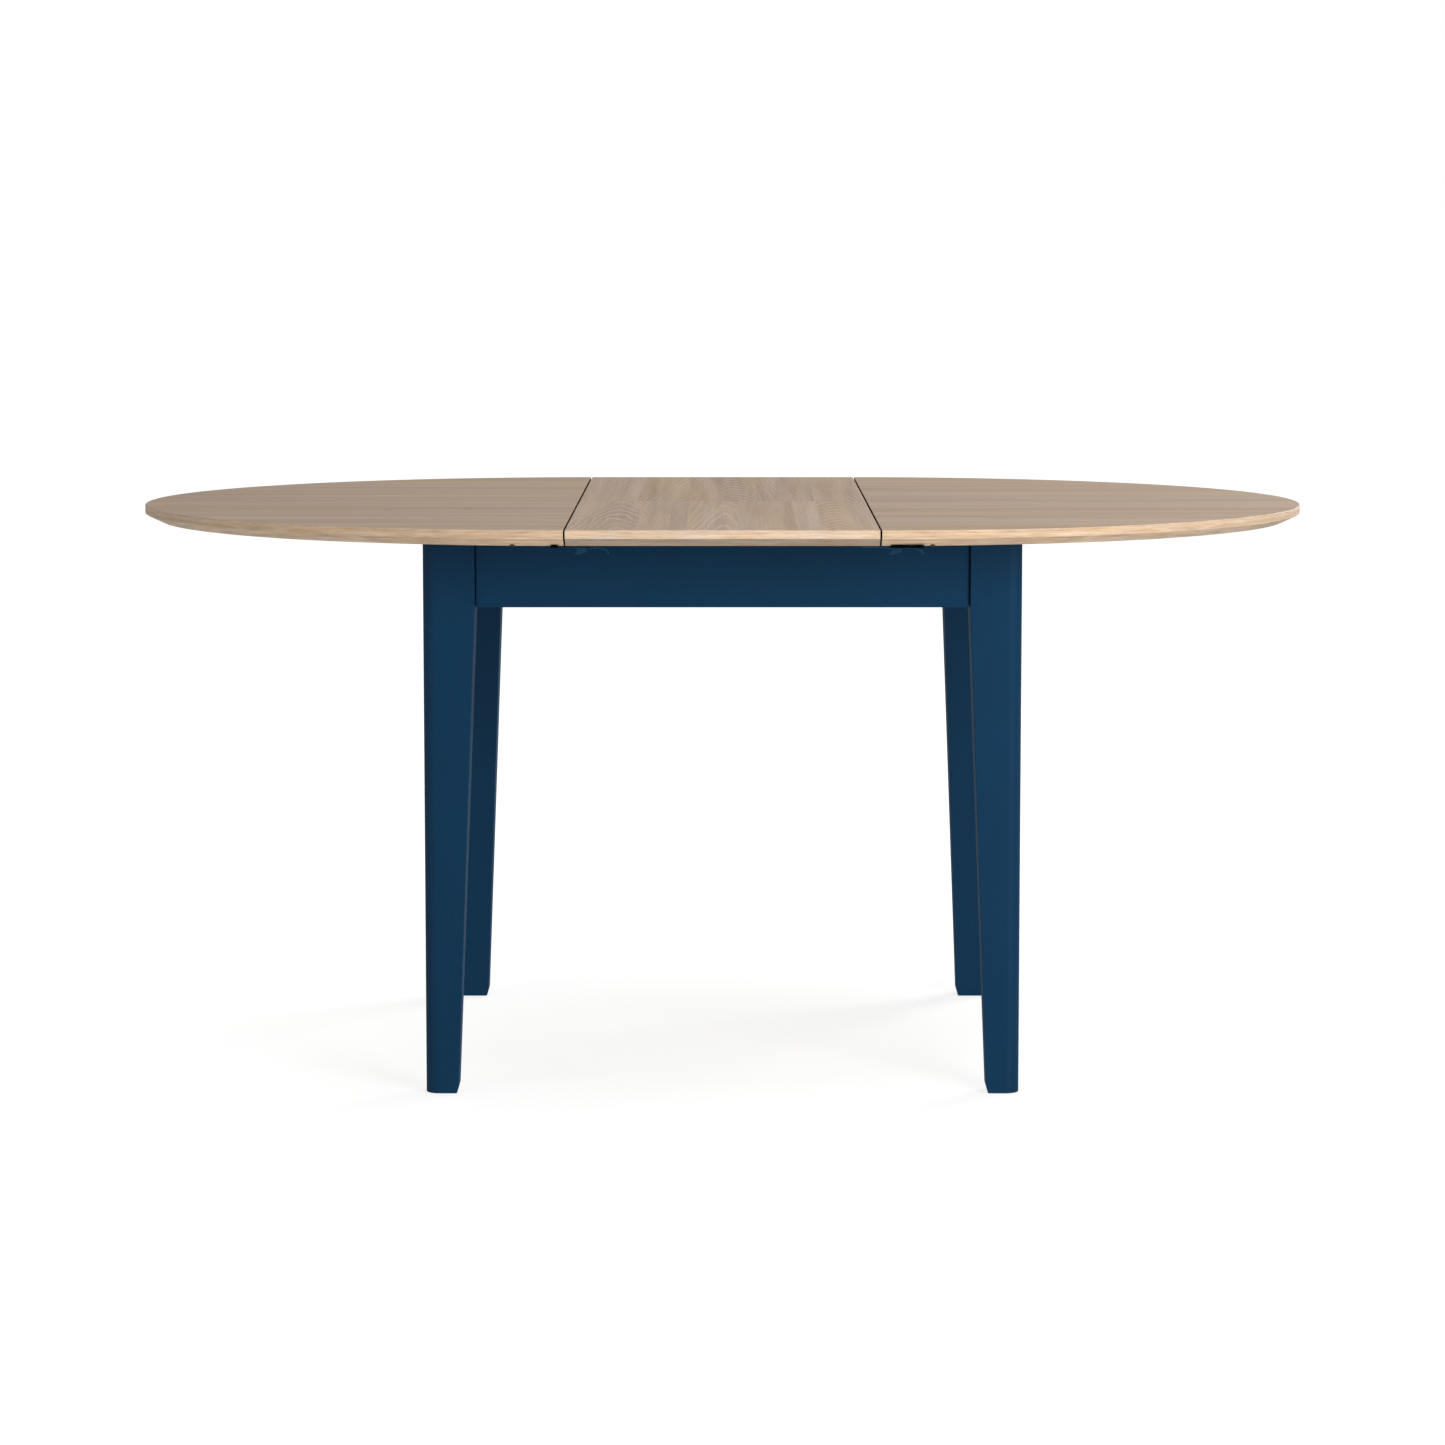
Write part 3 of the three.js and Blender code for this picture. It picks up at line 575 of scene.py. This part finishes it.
def soften(made, width, segments=3, limit=20):
    """Rounds the sharp edges of a piece, and shades it smooth while its flats stay flat."""
    bevel = made.modifiers.new("rounded_edges", "BEVEL")
    bevel.width = width
    bevel.segments = segments
    bevel.limit_method = "ANGLE"
    bevel.angle_limit = math.radians(limit)
    bevel.use_clamp_overlap = True
    for polygon in made.data.polygons:
        polygon.use_smooth = True
    weighted = made.modifiers.new("flat_faces", "WEIGHTED_NORMAL")
    weighted.weight = 80
    return made


def assign_faces(mesh, rule):
    for polygon in mesh.polygons:
        polygon.material_index = rule(polygon)


# ---- Tops ----

ARC_SEGMENTS = 144
TOP_ARRIS = 0.9 * MM
LEAF_ARRIS = 0.7 * MM
FLAT = 0.97  # a face whose normal is steeper than this is the top or the underside
FACE, EDGE, SEAM_SIDE = 0, 1, 2  # the tops' three materials, in order


def half_ring(side, inset, z):
    """The half top's outline at one height: the arc, then the straight seam."""
    radius = RADIUS - inset
    face = half_lo.x - SEAM
    reach = math.acos(face / radius)
    ring = []
    for i in range(ARC_SEGMENTS + 1):
        angle = -reach + 2 * reach * i / ARC_SEGMENTS
        ring.append((side * (SEAM + radius * math.cos(angle)), radius * math.sin(angle), z))
    return ring


def half_face_rule(polygon):
    """Veneer on the flat faces, lipping on the outer edge, and the seam's own face apart."""
    if abs(polygon.normal.z) > FLAT:
        return FACE
    on_seam = abs(polygon.center.x) < half_lo.x + 0.1 * MM
    return SEAM_SIDE if on_seam else EDGE


def leaf_face_rule(polygon):
    outside = abs(polygon.center.y) > RADIUS - BEVEL_INSET - PAST
    if abs(polygon.normal.z) > FLAT:
        return FACE
    if outside and abs(polygon.normal.x) < 0.5:
        return EDGE
    return SEAM_SIDE


for side, sign in SIDES.items():
    levels = [(BEVEL_INSET, UNDERSIDE), (0.0, BAND_BOTTOM), (0.0, TOP)]
    mesh = mesh_of(loft([half_ring(sign, inset, z) for inset, z in levels]), f"{side}_half")
    assign_faces(mesh, half_face_rule)
    made = piece(f"half_top_{side}", mesh, [veneer, round_lipping, seam_face], f"{side}_half",
                 [f"{side}_half_top"])
    soften(made, TOP_ARRIS)

NOTCH_WIDTH = 12 * MM
NOTCH_DEPTH = 12 * MM
pin_lo, pin_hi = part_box("alignment_pin_rear_right")
barrel_lo, barrel_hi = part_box("hinge_barrel_rear_right")


def pin_notch(side, sign):
    """The open-bottomed notch in the leaf's side that takes an alignment pin."""
    pin_y = (pin_lo.y + pin_hi.y) / 2
    inner, outer = sorted((side * (panel_hi.x - NOTCH_DEPTH), side * (panel_hi.x + PAST)))
    low, high = sorted((sign * (pin_y - NOTCH_WIDTH / 2), sign * (pin_y + NOTCH_WIDTH / 2)))
    return box_mesh((inner, low, UNDERSIDE - PAST), (outer, high, pin_hi.z + 0.5 * MM), "notch")


def hinge_socket(side, sign):
    """The round socket in the leaf's fold edge that takes a hinge barrel."""
    middle = (barrel_lo + barrel_hi) / 2
    start = (side * middle.x, sign * (panel_lo.y - PAST), middle.z)
    radius = (barrel_hi.z - barrel_lo.z) / 2 + FIT
    depth = barrel_hi.y - panel_lo.y + FIT + PAST
    return rod_mesh(start, (0, sign, 0), depth, radius, "socket")


def leaf_panel(end, sign):
    """One leaf panel, with the pin notches in its sides and the hinge sockets in its fold edge."""
    profile = [(panel_lo.y, UNDERSIDE), (RADIUS - BEVEL_INSET, UNDERSIDE), (RADIUS, BAND_BOTTOM),
               (RADIUS, TOP), (panel_lo.y, TOP)]
    rings = [[(x, sign * y, z) for y, z in profile] for x in (panel_lo.x, panel_hi.x)]
    tools = []
    for side in (-1, 1):
        tools += [pin_notch(side, sign), hinge_socket(side, sign)]
    mesh = with_cuts(mesh_of(loft(rings), f"{end}_panel"), tools)
    assign_faces(mesh, leaf_face_rule)
    return mesh


for end, sign in ENDS.items():
    made = piece(f"leaf_panel_{end}", leaf_panel(end, sign), [staves, straight_lipping, seam_face],
                 f"leaf_{end}", [f"{end}_leaf_panel"])
    soften(made, LEAF_ARRIS)

# ---- Legs and aprons ----

CORNER_STEPS = 10
LEG_ARRIS = 1.4 * MM
APRON_ARRIS = 0.8 * MM
MORTISE_TOOL_PAST = 10 * MM


def leg_ring(inner_x, inner_y, z):
    """A leg's section in the quarter where X and Y are positive."""
    r = LEG_CORNER_RADIUS
    ring = [(inner_x, inner_y, z), (leg_hi.x, inner_y, z)]
    for i in range(CORNER_STEPS + 1):
        angle = math.pi / 2 * i / CORNER_STEPS
        ring.append((leg_hi.x - r + r * math.cos(angle), leg_hi.y - r + r * math.sin(angle), z))
    ring.append((inner_x, leg_hi.y, z))
    return ring


def mortises():
    """The tools for the two mortises at the leg's top, which meet the long and the short apron."""
    middle_z = (long_apron_lo.z + long_apron_hi.z) / 2
    long_y = (long_apron_lo.y + long_apron_hi.y) / 2
    short_x = (short_apron_lo.x + short_apron_hi.x) / 2
    half = TENON_THICKNESS / 2 + FIT
    low, high = middle_z - TENON_HEIGHT / 2 - FIT, middle_z + TENON_HEIGHT / 2 + FIT
    long_lo = (leg_lo.x - MORTISE_TOOL_PAST, long_y - half, low)
    long_hi = (long_apron_hi.x + FIT, long_y + half, high)
    short_lo = (short_x - half, leg_lo.y - MORTISE_TOOL_PAST, low)
    short_hi = (short_x + half, short_apron_hi.y + FIT, high)
    return [box_mesh(long_lo, long_hi, "mortise"), box_mesh(short_lo, short_hi, "mortise")]


def leg_mesh():
    """The rear right leg: square down to the apron's bottom, then tapered on its two inner faces."""
    top_width = leg_hi.x - leg_lo.x
    taper = (top_width - LEG_FOOT_WIDTH) / APRON_BOTTOM

    def ring(z, extra=0.0):
        cut = max(0.0, APRON_BOTTOM - z) * taper + extra
        return leg_ring(leg_lo.x + cut, leg_lo.y + cut, z)

    rings = [ring(leg_lo.z, FOOT_CHAMFER_WIDTH), ring(leg_lo.z + FOOT_CHAMFER_HEIGHT), ring(APRON_BOTTOM),
             ring(leg_hi.z)]
    return with_cuts(mesh_of(loft(rings), "leg"), mortises())


def mirrored(mesh, x, y):
    """A copy of the mesh mirrored in x or y, with its faces still turned out."""
    bm = bmesh.new()
    bm.from_mesh(mesh)
    bmesh.ops.transform(bm, matrix=Matrix.Diagonal((x, y, 1.0, 1.0)), verts=bm.verts)
    return mesh_of(bm, mesh.name)


leg_model = leg_mesh()
for label, x, y in CORNERS:
    made = piece(f"tapered_leg_{label}", mirrored(leg_model, x, y), [paint_up], "frame",
                 [f"leg_{label}"])
    soften(made, LEG_ARRIS)


def apron_mesh(lo, hi, axis):
    """An apron board with its two tenons. axis is 0 where it runs along X and 1 along Y."""
    thickness_axis = 1 - axis
    board_lo, board_hi = lo.copy(), hi.copy()
    board_lo[axis] += TENON_DEPTH + SHADOW_GAP
    board_hi[axis] -= TENON_DEPTH + SHADOW_GAP
    tongue_lo, tongue_hi = lo.copy(), hi.copy()
    middle = (lo[thickness_axis] + hi[thickness_axis]) / 2
    tongue_lo[thickness_axis] = middle - TENON_THICKNESS / 2
    tongue_hi[thickness_axis] = middle + TENON_THICKNESS / 2
    middle_z = (lo.z + hi.z) / 2
    tongue_lo.z = middle_z - TENON_HEIGHT / 2
    tongue_hi.z = middle_z + TENON_HEIGHT / 2
    board = box_mesh(board_lo, board_hi, "apron")
    return with_cuts(board, [box_mesh(tongue_lo, tongue_hi, "tongue")], "UNION")


for axis, (names, paint) in enumerate(((ENDS, paint_long), (SIDES, paint_short))):
    for where in names:
        mesh = apron_mesh(*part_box(f"{where}_apron"), axis)
        made = piece(f"apron_{where}", mesh, [paint], "frame", [f"{where}_apron"])
        soften(made, APRON_ARRIS)


# ---- Pieces that keep their CAD shape ----

PLATE_DEPTH = 2.15 * MM  # just past the clip brackets' plate, below the underside; the painted shade reaches this far down


def dress(node, material, width):
    """Gives a CAD node its finished material and rounded edges."""
    made = frame["nodes"][node]
    made.data.materials.clear()
    made.data.materials.append(material)
    soften(made, width, segments=2, limit=32)


def paint_plate_shade(node):
    """Paints shade on a clip bracket's plate and toe, which are up against the oak: near-black steel where
    they sit in the shade under the top.
    """
    made = frame["nodes"][node]
    made.data.materials.append(shaded_clip_steel)

    def steel_of(polygon):
        height = (made.matrix_world @ polygon.center).z
        return 1 if height > UNDERSIDE - PLATE_DEPTH else 0

    assign_faces(made.data, steel_of)


for end in ENDS:
    dress(f"{end}_slide_beam", beech_long, 0.6 * MM)
for side in SIDES:
    dress(f"{side}_leaf_bearer", beech_short, 1 * MM)
for label in LABELS:
    dress(f"runner_{label}", beech_long, 0.6 * MM)
    dress(f"corner_block_{label}", beech_long, 1 * MM)
    dress(f"alignment_pin_{label}", brass, 1 * MM)
    dress(f"hinge_barrel_{label}", zinc, 0.4 * MM)
    dress(f"clip_bracket_{label}", clip_steel, 0.3 * MM)
    paint_plate_shade(f"clip_bracket_{label}")
    dress(f"clip_lever_{label}", clip_steel, 0.3 * MM)
    dress(f"clip_pin_{label}", clip_steel, 0.4 * MM)
    # The keepers, in the shade under the leaf, take the near-black steel of painted shade.
    dress(f"clip_keeper_{label}", shaded_clip_steel, 0.3 * MM)


# ---- Hardware ----

def turned(profile, segments=48):
    """A closed body turned about Z through (radius, z) points, bottom to top."""
    rings = []
    for radius, z in profile:
        angles = [2 * math.pi * i / segments for i in range(segments)]
        rings.append([(radius * math.cos(a), radius * math.sin(a), z) for a in angles])
    return loft(rings)


def hex_ring(across_flats, largest, z, steps=60):
    """A hexagon whose corners are cut back to a largest radius."""
    ring = []
    sixth = math.pi / 3
    for i in range(steps):
        angle = 2 * math.pi * i / steps
        from_flat = (angle + sixth / 2) % sixth - sixth / 2
        reach = min(across_flats / 2 / math.cos(from_flat), largest)
        ring.append((reach * math.cos(angle), reach * math.sin(angle), z))
    return ring


def hex_nut(across_flats, height, z):
    """A nut standing on z, with its corners chamfered top and bottom."""
    chamfer = 0.07 * across_flats
    levels = ((0.0, 0.5), (chamfer, 1.0), (height - chamfer, 1.0), (height, 0.5))
    return loft([hex_ring(across_flats, share * across_flats, z + level) for level, share in levels])


def joined(parts, name):
    """One mesh made of several closed bodies."""
    whole = bmesh.new()
    for part in parts:
        mesh = mesh_of(part, "part")
        whole.from_mesh(mesh)
        bpy.data.meshes.remove(mesh)
    return mesh_of(whole, name)


# Corner bolts: a hanger bolt whose thread shows past its washer and nut.
bolt_lo, bolt_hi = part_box("corner_bolt_rear_right")
BOLT_RADIUS = 4 * MM
BOLT_PAST_BLOCK = 16 * MM
BOLT_TIP = 4 * MM
WASHER_RADIUS = 11 * MM
WASHER_THICKNESS = 1.8 * MM
WASHER_EDGE = 0.3 * MM
NUT_WIDTH = 13 * MM
NUT_HEIGHT = 6.5 * MM
THREAD_PITCH = 1.25 * MM
THREAD_DEPTH = 0.55 * MM
THREAD_INTO_BLOCK = 6 * MM
DIAGONAL = math.sqrt(0.5)


def bolt_profile(length):
    """The threaded rod from its end at z = 0 to its pointed tip in the leg."""
    root = BOLT_RADIUS - THREAD_DEPTH
    profile = [(root - THREAD_DEPTH, 0.0)]
    turns = int((BOLT_PAST_BLOCK + THREAD_INTO_BLOCK) / THREAD_PITCH)
    for i in range(turns):
        start = (i + 0.5) * THREAD_PITCH
        profile += [(root, start), (BOLT_RADIUS, start + THREAD_PITCH / 2)]
    thread_end = (turns + 0.5) * THREAD_PITCH
    profile += [(root, thread_end), (root, length - BOLT_TIP), (BOLT_RADIUS - 3 * MM, length)]
    return profile


def bolt_mesh(length):
    """The bolt, with the nut and washer where the block's face is."""
    washer_z = BOLT_PAST_BLOCK - WASHER_THICKNESS
    inset = WASHER_RADIUS - WASHER_EDGE
    washer = turned([(inset, washer_z), (WASHER_RADIUS, washer_z + WASHER_EDGE),
                     (WASHER_RADIUS, BOLT_PAST_BLOCK - WASHER_EDGE), (inset, BOLT_PAST_BLOCK)])
    nut = hex_nut(NUT_WIDTH, NUT_HEIGHT, washer_z - NUT_HEIGHT)
    return joined([turned(bolt_profile(length)), washer, nut], "corner_bolt")


bolt_x = bolt_lo.x + BOLT_RADIUS * DIAGONAL
bolt_y = bolt_lo.y + BOLT_RADIUS * DIAGONAL
bolt_z = (bolt_lo.z + bolt_hi.z) / 2
bolt_model = bolt_mesh((bolt_hi.x - bolt_lo.x) / DIAGONAL - 2 * BOLT_RADIUS)
for label, x, y in CORNERS:
    piece(f"hanger_bolt_{label}", bolt_model, [zinc], "frame", [f"corner_bolt_{label}"],
          standing((x * bolt_x, y * bolt_y, bolt_z), (x, y, 0)))

# Foot glides: a dished nylon disc with the head of its nail in the middle.
glide_lo, glide_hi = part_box("foot_glide_rear_right")
GLIDE_RADIUS = (glide_hi.x - glide_lo.x) / 2
GLIDE_HEIGHT = glide_hi.z - glide_lo.z
glide_profile = [(0.12 * GLIDE_RADIUS, 0.9 * MM), (0.28 * GLIDE_RADIUS, 1.1 * MM),
                 (0.3 * GLIDE_RADIUS, 1.9 * MM), (0.42 * GLIDE_RADIUS, 1.9 * MM),
                 (0.5 * GLIDE_RADIUS, 0.2 * MM), (0.56 * GLIDE_RADIUS, 0.0),
                 (GLIDE_RADIUS - 1.2 * MM, 0.0), (GLIDE_RADIUS - 0.4 * MM, 0.3 * MM),
                 (GLIDE_RADIUS, 1.2 * MM), (GLIDE_RADIUS, GLIDE_HEIGHT)]
glide_model = mesh_of(turned(glide_profile), "foot_glide")
for label in LABELS:
    lo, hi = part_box(f"foot_glide_{label}")
    piece(f"nail_glide_{label}", glide_model, [glide_nylon], "frame", [f"foot_glide_{label}"],
          standing(((lo.x + hi.x) / 2, (lo.y + hi.y) / 2, lo.z), (0, 0, 1)))


def screw_mesh(head_radius, head_height, shank_radius, length, name):
    """A cross-recessed screw: its head's underside is at z = 0 and its shank runs down from there."""
    dome = [(head_radius, 0.0), (head_radius, head_height * 0.35), (head_radius * 0.9, head_height * 0.75),
            (head_radius * 0.6, head_height), (head_radius * 0.2, head_height)]
    shank = [(shank_radius * 0.3, -length), (shank_radius, -length * 0.7), (shank_radius, 0.0)]
    wide, narrow = head_radius * 0.55, head_radius * 0.12
    deep, above = head_height * 0.4, head_height * 2
    cross = [box_mesh((-wide, -narrow, deep), (wide, narrow, above), "slot"),
             box_mesh((-narrow, -wide, deep), (narrow, wide, above), "slot")]
    mesh = with_cuts(mesh_of(turned(shank + dome, 32), name), cross)
    mesh.name = name
    return mesh


pan_screw = screw_mesh(3.6 * MM, 2.0 * MM, 1.9 * MM, 24 * MM, "pan_screw")
flat_screw = screw_mesh(2.6 * MM, 0.35 * MM, 1.3 * MM, 11 * MM, "flat_screw")

# Screws that hold the clips' brackets and keepers, from below: each is set out from the seam in x, and from
# the plate's middle in y.
CLIP_SCREWS = {
    ("clip_bracket", "left"): [(-19 * MM, 0.0), (-10 * MM, 0.0)],
    ("clip_bracket", "right"): [(41 * MM, 0.0), (50.5 * MM, 0.0)],
    ("clip_keeper", "left"): [(38.5 * MM, -4.5 * MM), (38.5 * MM, 4.5 * MM)],
    ("clip_keeper", "right"): [(-14.5 * MM, -4.5 * MM), (-14.5 * MM, 4.5 * MM)],
}
SEAT_DEPTH = {"clip_bracket": 2.05 * MM, "clip_keeper": 1.25 * MM}
for (kind, side), spots in CLIP_SCREWS.items():
    for end in ENDS:
        label = f"{end}_{side}"
        lo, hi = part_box(f"{kind}_{label}")
        body = f"{side}_half" if kind == "clip_bracket" else f"leaf_{end}"
        for i, (from_seam, aside) in enumerate(spots):
            place = (SIDES[side] * SEAM + from_seam, (lo.y + hi.y) / 2 + aside, UNDERSIDE - SEAT_DEPTH[kind])
            piece(f"{kind}_screw_{label}_{i}", flat_screw, [clip_steel], body,
                  stance=standing(place, (0, 0, -1)))

# Dark plugs at the foot of the half tops' bevel, one near each end of each seam.
PLUG_FROM_SEAM = 66 * MM
PLUG_RADIUS = 3 * MM
plug_profile = [(0.3 * PLUG_RADIUS, -4 * MM), (PLUG_RADIUS, -3.4 * MM), (PLUG_RADIUS, 0.6 * MM),
                (0.8 * PLUG_RADIUS, 1.3 * MM), (0.3 * PLUG_RADIUS, 1.6 * MM)]
plug_model = mesh_of(turned(plug_profile, 32), "edge_plug")
plug_y = math.sqrt((RADIUS - BEVEL_INSET) ** 2 - PLUG_FROM_SEAM ** 2) + 0.6 * PLUG_RADIUS
for side, x in SIDES.items():
    for end, y in ENDS.items():
        place = (x * (SEAM + PLUG_FROM_SEAM), y * plug_y, UNDERSIDE)
        piece(f"edge_plug_{end}_{side}", plug_model, [glide_nylon], f"{side}_half",
              stance=standing(place, (0, 0, -1)))

# Screws up through the runners into the half tops.
RUNNER_SCREWS_FROM_SEAM = (24 * MM, 72 * MM)
for side, x in SIDES.items():
    for end in ENDS:
        label = f"{end}_{side}"
        lo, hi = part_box(f"runner_{label}")
        for i, from_seam in enumerate(RUNNER_SCREWS_FROM_SEAM):
            place = (x * (SEAM + from_seam), (lo.y + hi.y) / 2, lo.z)
            piece(f"runner_screw_{label}_{i}", pan_screw, [zinc], f"{side}_half",
                  stance=standing(place, (0, 0, -1)))

# Screws through the ends of the corner blocks into the aprons, two to each end.
BLOCK_SCREW_ASIDE = 66 * MM * DIAGONAL
BLOCK_SCREW_RISE = 10 * MM
face_x = bolt_x + BOLT_PAST_BLOCK * DIAGONAL
face_y = bolt_y + BOLT_PAST_BLOCK * DIAGONAL
for label, x, y in CORNERS:
    for i, (aside, rise) in enumerate(((-1, -1), (-1, 1), (1, -1), (1, 1))):
        place = (x * (face_x + aside * BLOCK_SCREW_ASIDE), y * (face_y - aside * BLOCK_SCREW_ASIDE),
                 bolt_z + rise * BLOCK_SCREW_RISE)
        piece(f"block_screw_{label}_{i}", pan_screw, [zinc], "frame",
              stance=standing(place, (-x, -y, 0)))

# ---- Camera and lights ----

CAMERA_DISTANCE = 6.159
CAMERA_HEIGHT = TOP + 0.3771
CAMERA_PITCH = 6.372
CAMERA_LENS = 110.1
MIDDLE = (0.0, 0.0, 0.5)


def set_camera():
    camera = bpy.data.objects.new("camera", bpy.data.cameras.new("camera"))
    bpy.context.scene.collection.objects.link(camera)
    camera.location = (0.0, -CAMERA_DISTANCE, CAMERA_HEIGHT)
    camera.rotation_euler = (math.radians(90 - CAMERA_PITCH), 0.0, 0.0)
    camera.data.lens = CAMERA_LENS
    camera.data.sensor_width = 36.0
    bpy.context.scene.camera = camera


def area_light(name, place, size, power):
    """A soft white panel that faces the table's middle."""
    light = bpy.data.lights.new(name, "AREA")
    light.shape = "RECTANGLE"
    light.size, light.size_y = size
    light.energy = power
    lamp = bpy.data.objects.new(name, light)
    bpy.context.scene.collection.objects.link(lamp)
    lamp.location = place
    lamp.rotation_euler = (Vector(MIDDLE) - Vector(place)).to_track_quat("-Z", "Y").to_euler()
    return lamp


set_camera()
bpy.context.scene.view_settings.view_transform = "Standard"
near_right = area_light("near_right", (1.4, -2.6, 1.3), (1.2, 1.2), 50)
near_right.visible_glossy = False
area_light("low_right", (2.6, -3.6, 0.37), (1.4, 0.7), 27)
area_light("front_left", (-3.6, -3.6, 2.4), (2.5, 2.5), 28)
area_light("rear_right", (3.6, 3.6, 2.6), (2.5, 2.5), 210)

# ---- Surroundings ----

FROM_BELOW = 0.67
MIRRORED_BELOW = 0.33
MIRRORED_TINT = (0.75, 1.05, 1.3)
FROM_ABOVE = 0.35
HORIZON = 0.15  # half the height of the band over which above and below blend

world = bpy.data.worlds.new("studio")
bpy.context.scene.world = world
world.use_nodes = True
tree = world.node_tree
tree.nodes.clear()


def backdrop(colour, strength):
    node = tree.nodes.new("ShaderNodeBackground")
    node.inputs[0].default_value = rgba(colour)
    node.inputs[1].default_value = strength
    return node.outputs[0]


def either(fac, a, b):
    node = tree.nodes.new("ShaderNodeMixShader")
    for socket, source in zip(node.inputs, (fac, a, b)):
        tree.links.new(source, socket)
    return node.outputs[0]


def height_of_view():
    """0 for directions well below the horizon, and 1 for those well above it."""
    direction = tree.nodes.new("ShaderNodeTexCoord")
    split = tree.nodes.new("ShaderNodeSeparateXYZ")
    tree.links.new(direction.outputs["Generated"], split.inputs[0])
    upward = tree.nodes.new("ShaderNodeMapRange")
    upward.inputs["From Min"].default_value = -HORIZON
    upward.inputs["From Max"].default_value = HORIZON
    tree.links.new(split.outputs[2], upward.inputs["Value"])
    return upward.outputs[0]


light_path = tree.nodes.new("ShaderNodeLightPath")
below = either(light_path.outputs["Is Glossy Ray"], backdrop(WHITE, FROM_BELOW),
               backdrop(MIRRORED_TINT, MIRRORED_BELOW))
surround = either(height_of_view(), below, backdrop(WHITE, FROM_ABOVE))
shown = either(light_path.outputs["Is Camera Ray"], surround, backdrop(WHITE, 1.0))
output = tree.nodes.new("ShaderNodeOutputWorld")
tree.links.new(shown, output.inputs[0])

FLOOR_SIZE = 30.0
FLOOR_DARK = (0.24, 0.24, 0.24)
FLOOR_LIGHT = (0.26, 0.26, 0.26)
# The floor glows less under the table, so that a faint painted shadow shows: (distance, glow) at both ends.
GLOW_NEAR = (0.3, 0.77)
GLOW_FAR = (1.3, 0.97)


def floor_material():
    """Plain pale floor, with a little speckle, that glows: less under the table, which paints a faint shadow
    there.
    """
    g = Graph("floor")
    speckle = g.noise(g.vector(*g.axes()), scale=40.0)
    g.set(Base_Color=g.mix(speckle, rgba(FLOOR_DARK), rgba(FLOOR_LIGHT)))
    g.set(Roughness=0.9, Specular_IOR_Level=0.0)
    away = g.add("ShaderNodeVectorMath", operation="LENGTH")
    g.link(g.vector(*g.axes()), away.inputs[0])
    glow = g.add("ShaderNodeMapRange")
    g.feed(glow.inputs["Value"], away.outputs["Value"])
    glow.inputs["From Min"].default_value, glow.inputs["To Min"].default_value = GLOW_NEAR
    glow.inputs["From Max"].default_value, glow.inputs["To Max"].default_value = GLOW_FAR
    g.set(Emission_Color=rgba(WHITE), Emission_Strength=glow.outputs[0])
    return g.material


floor_bm = bmesh.new()
bmesh.ops.create_grid(floor_bm, x_segments=1, y_segments=1, size=FLOOR_SIZE)
floor = bpy.data.objects.new("floor", mesh_of(floor_bm, "floor"))
bpy.context.scene.collection.objects.link(floor)
floor.data.materials.append(floor_material())
floor.visible_glossy = False
floor.visible_diffuse = False
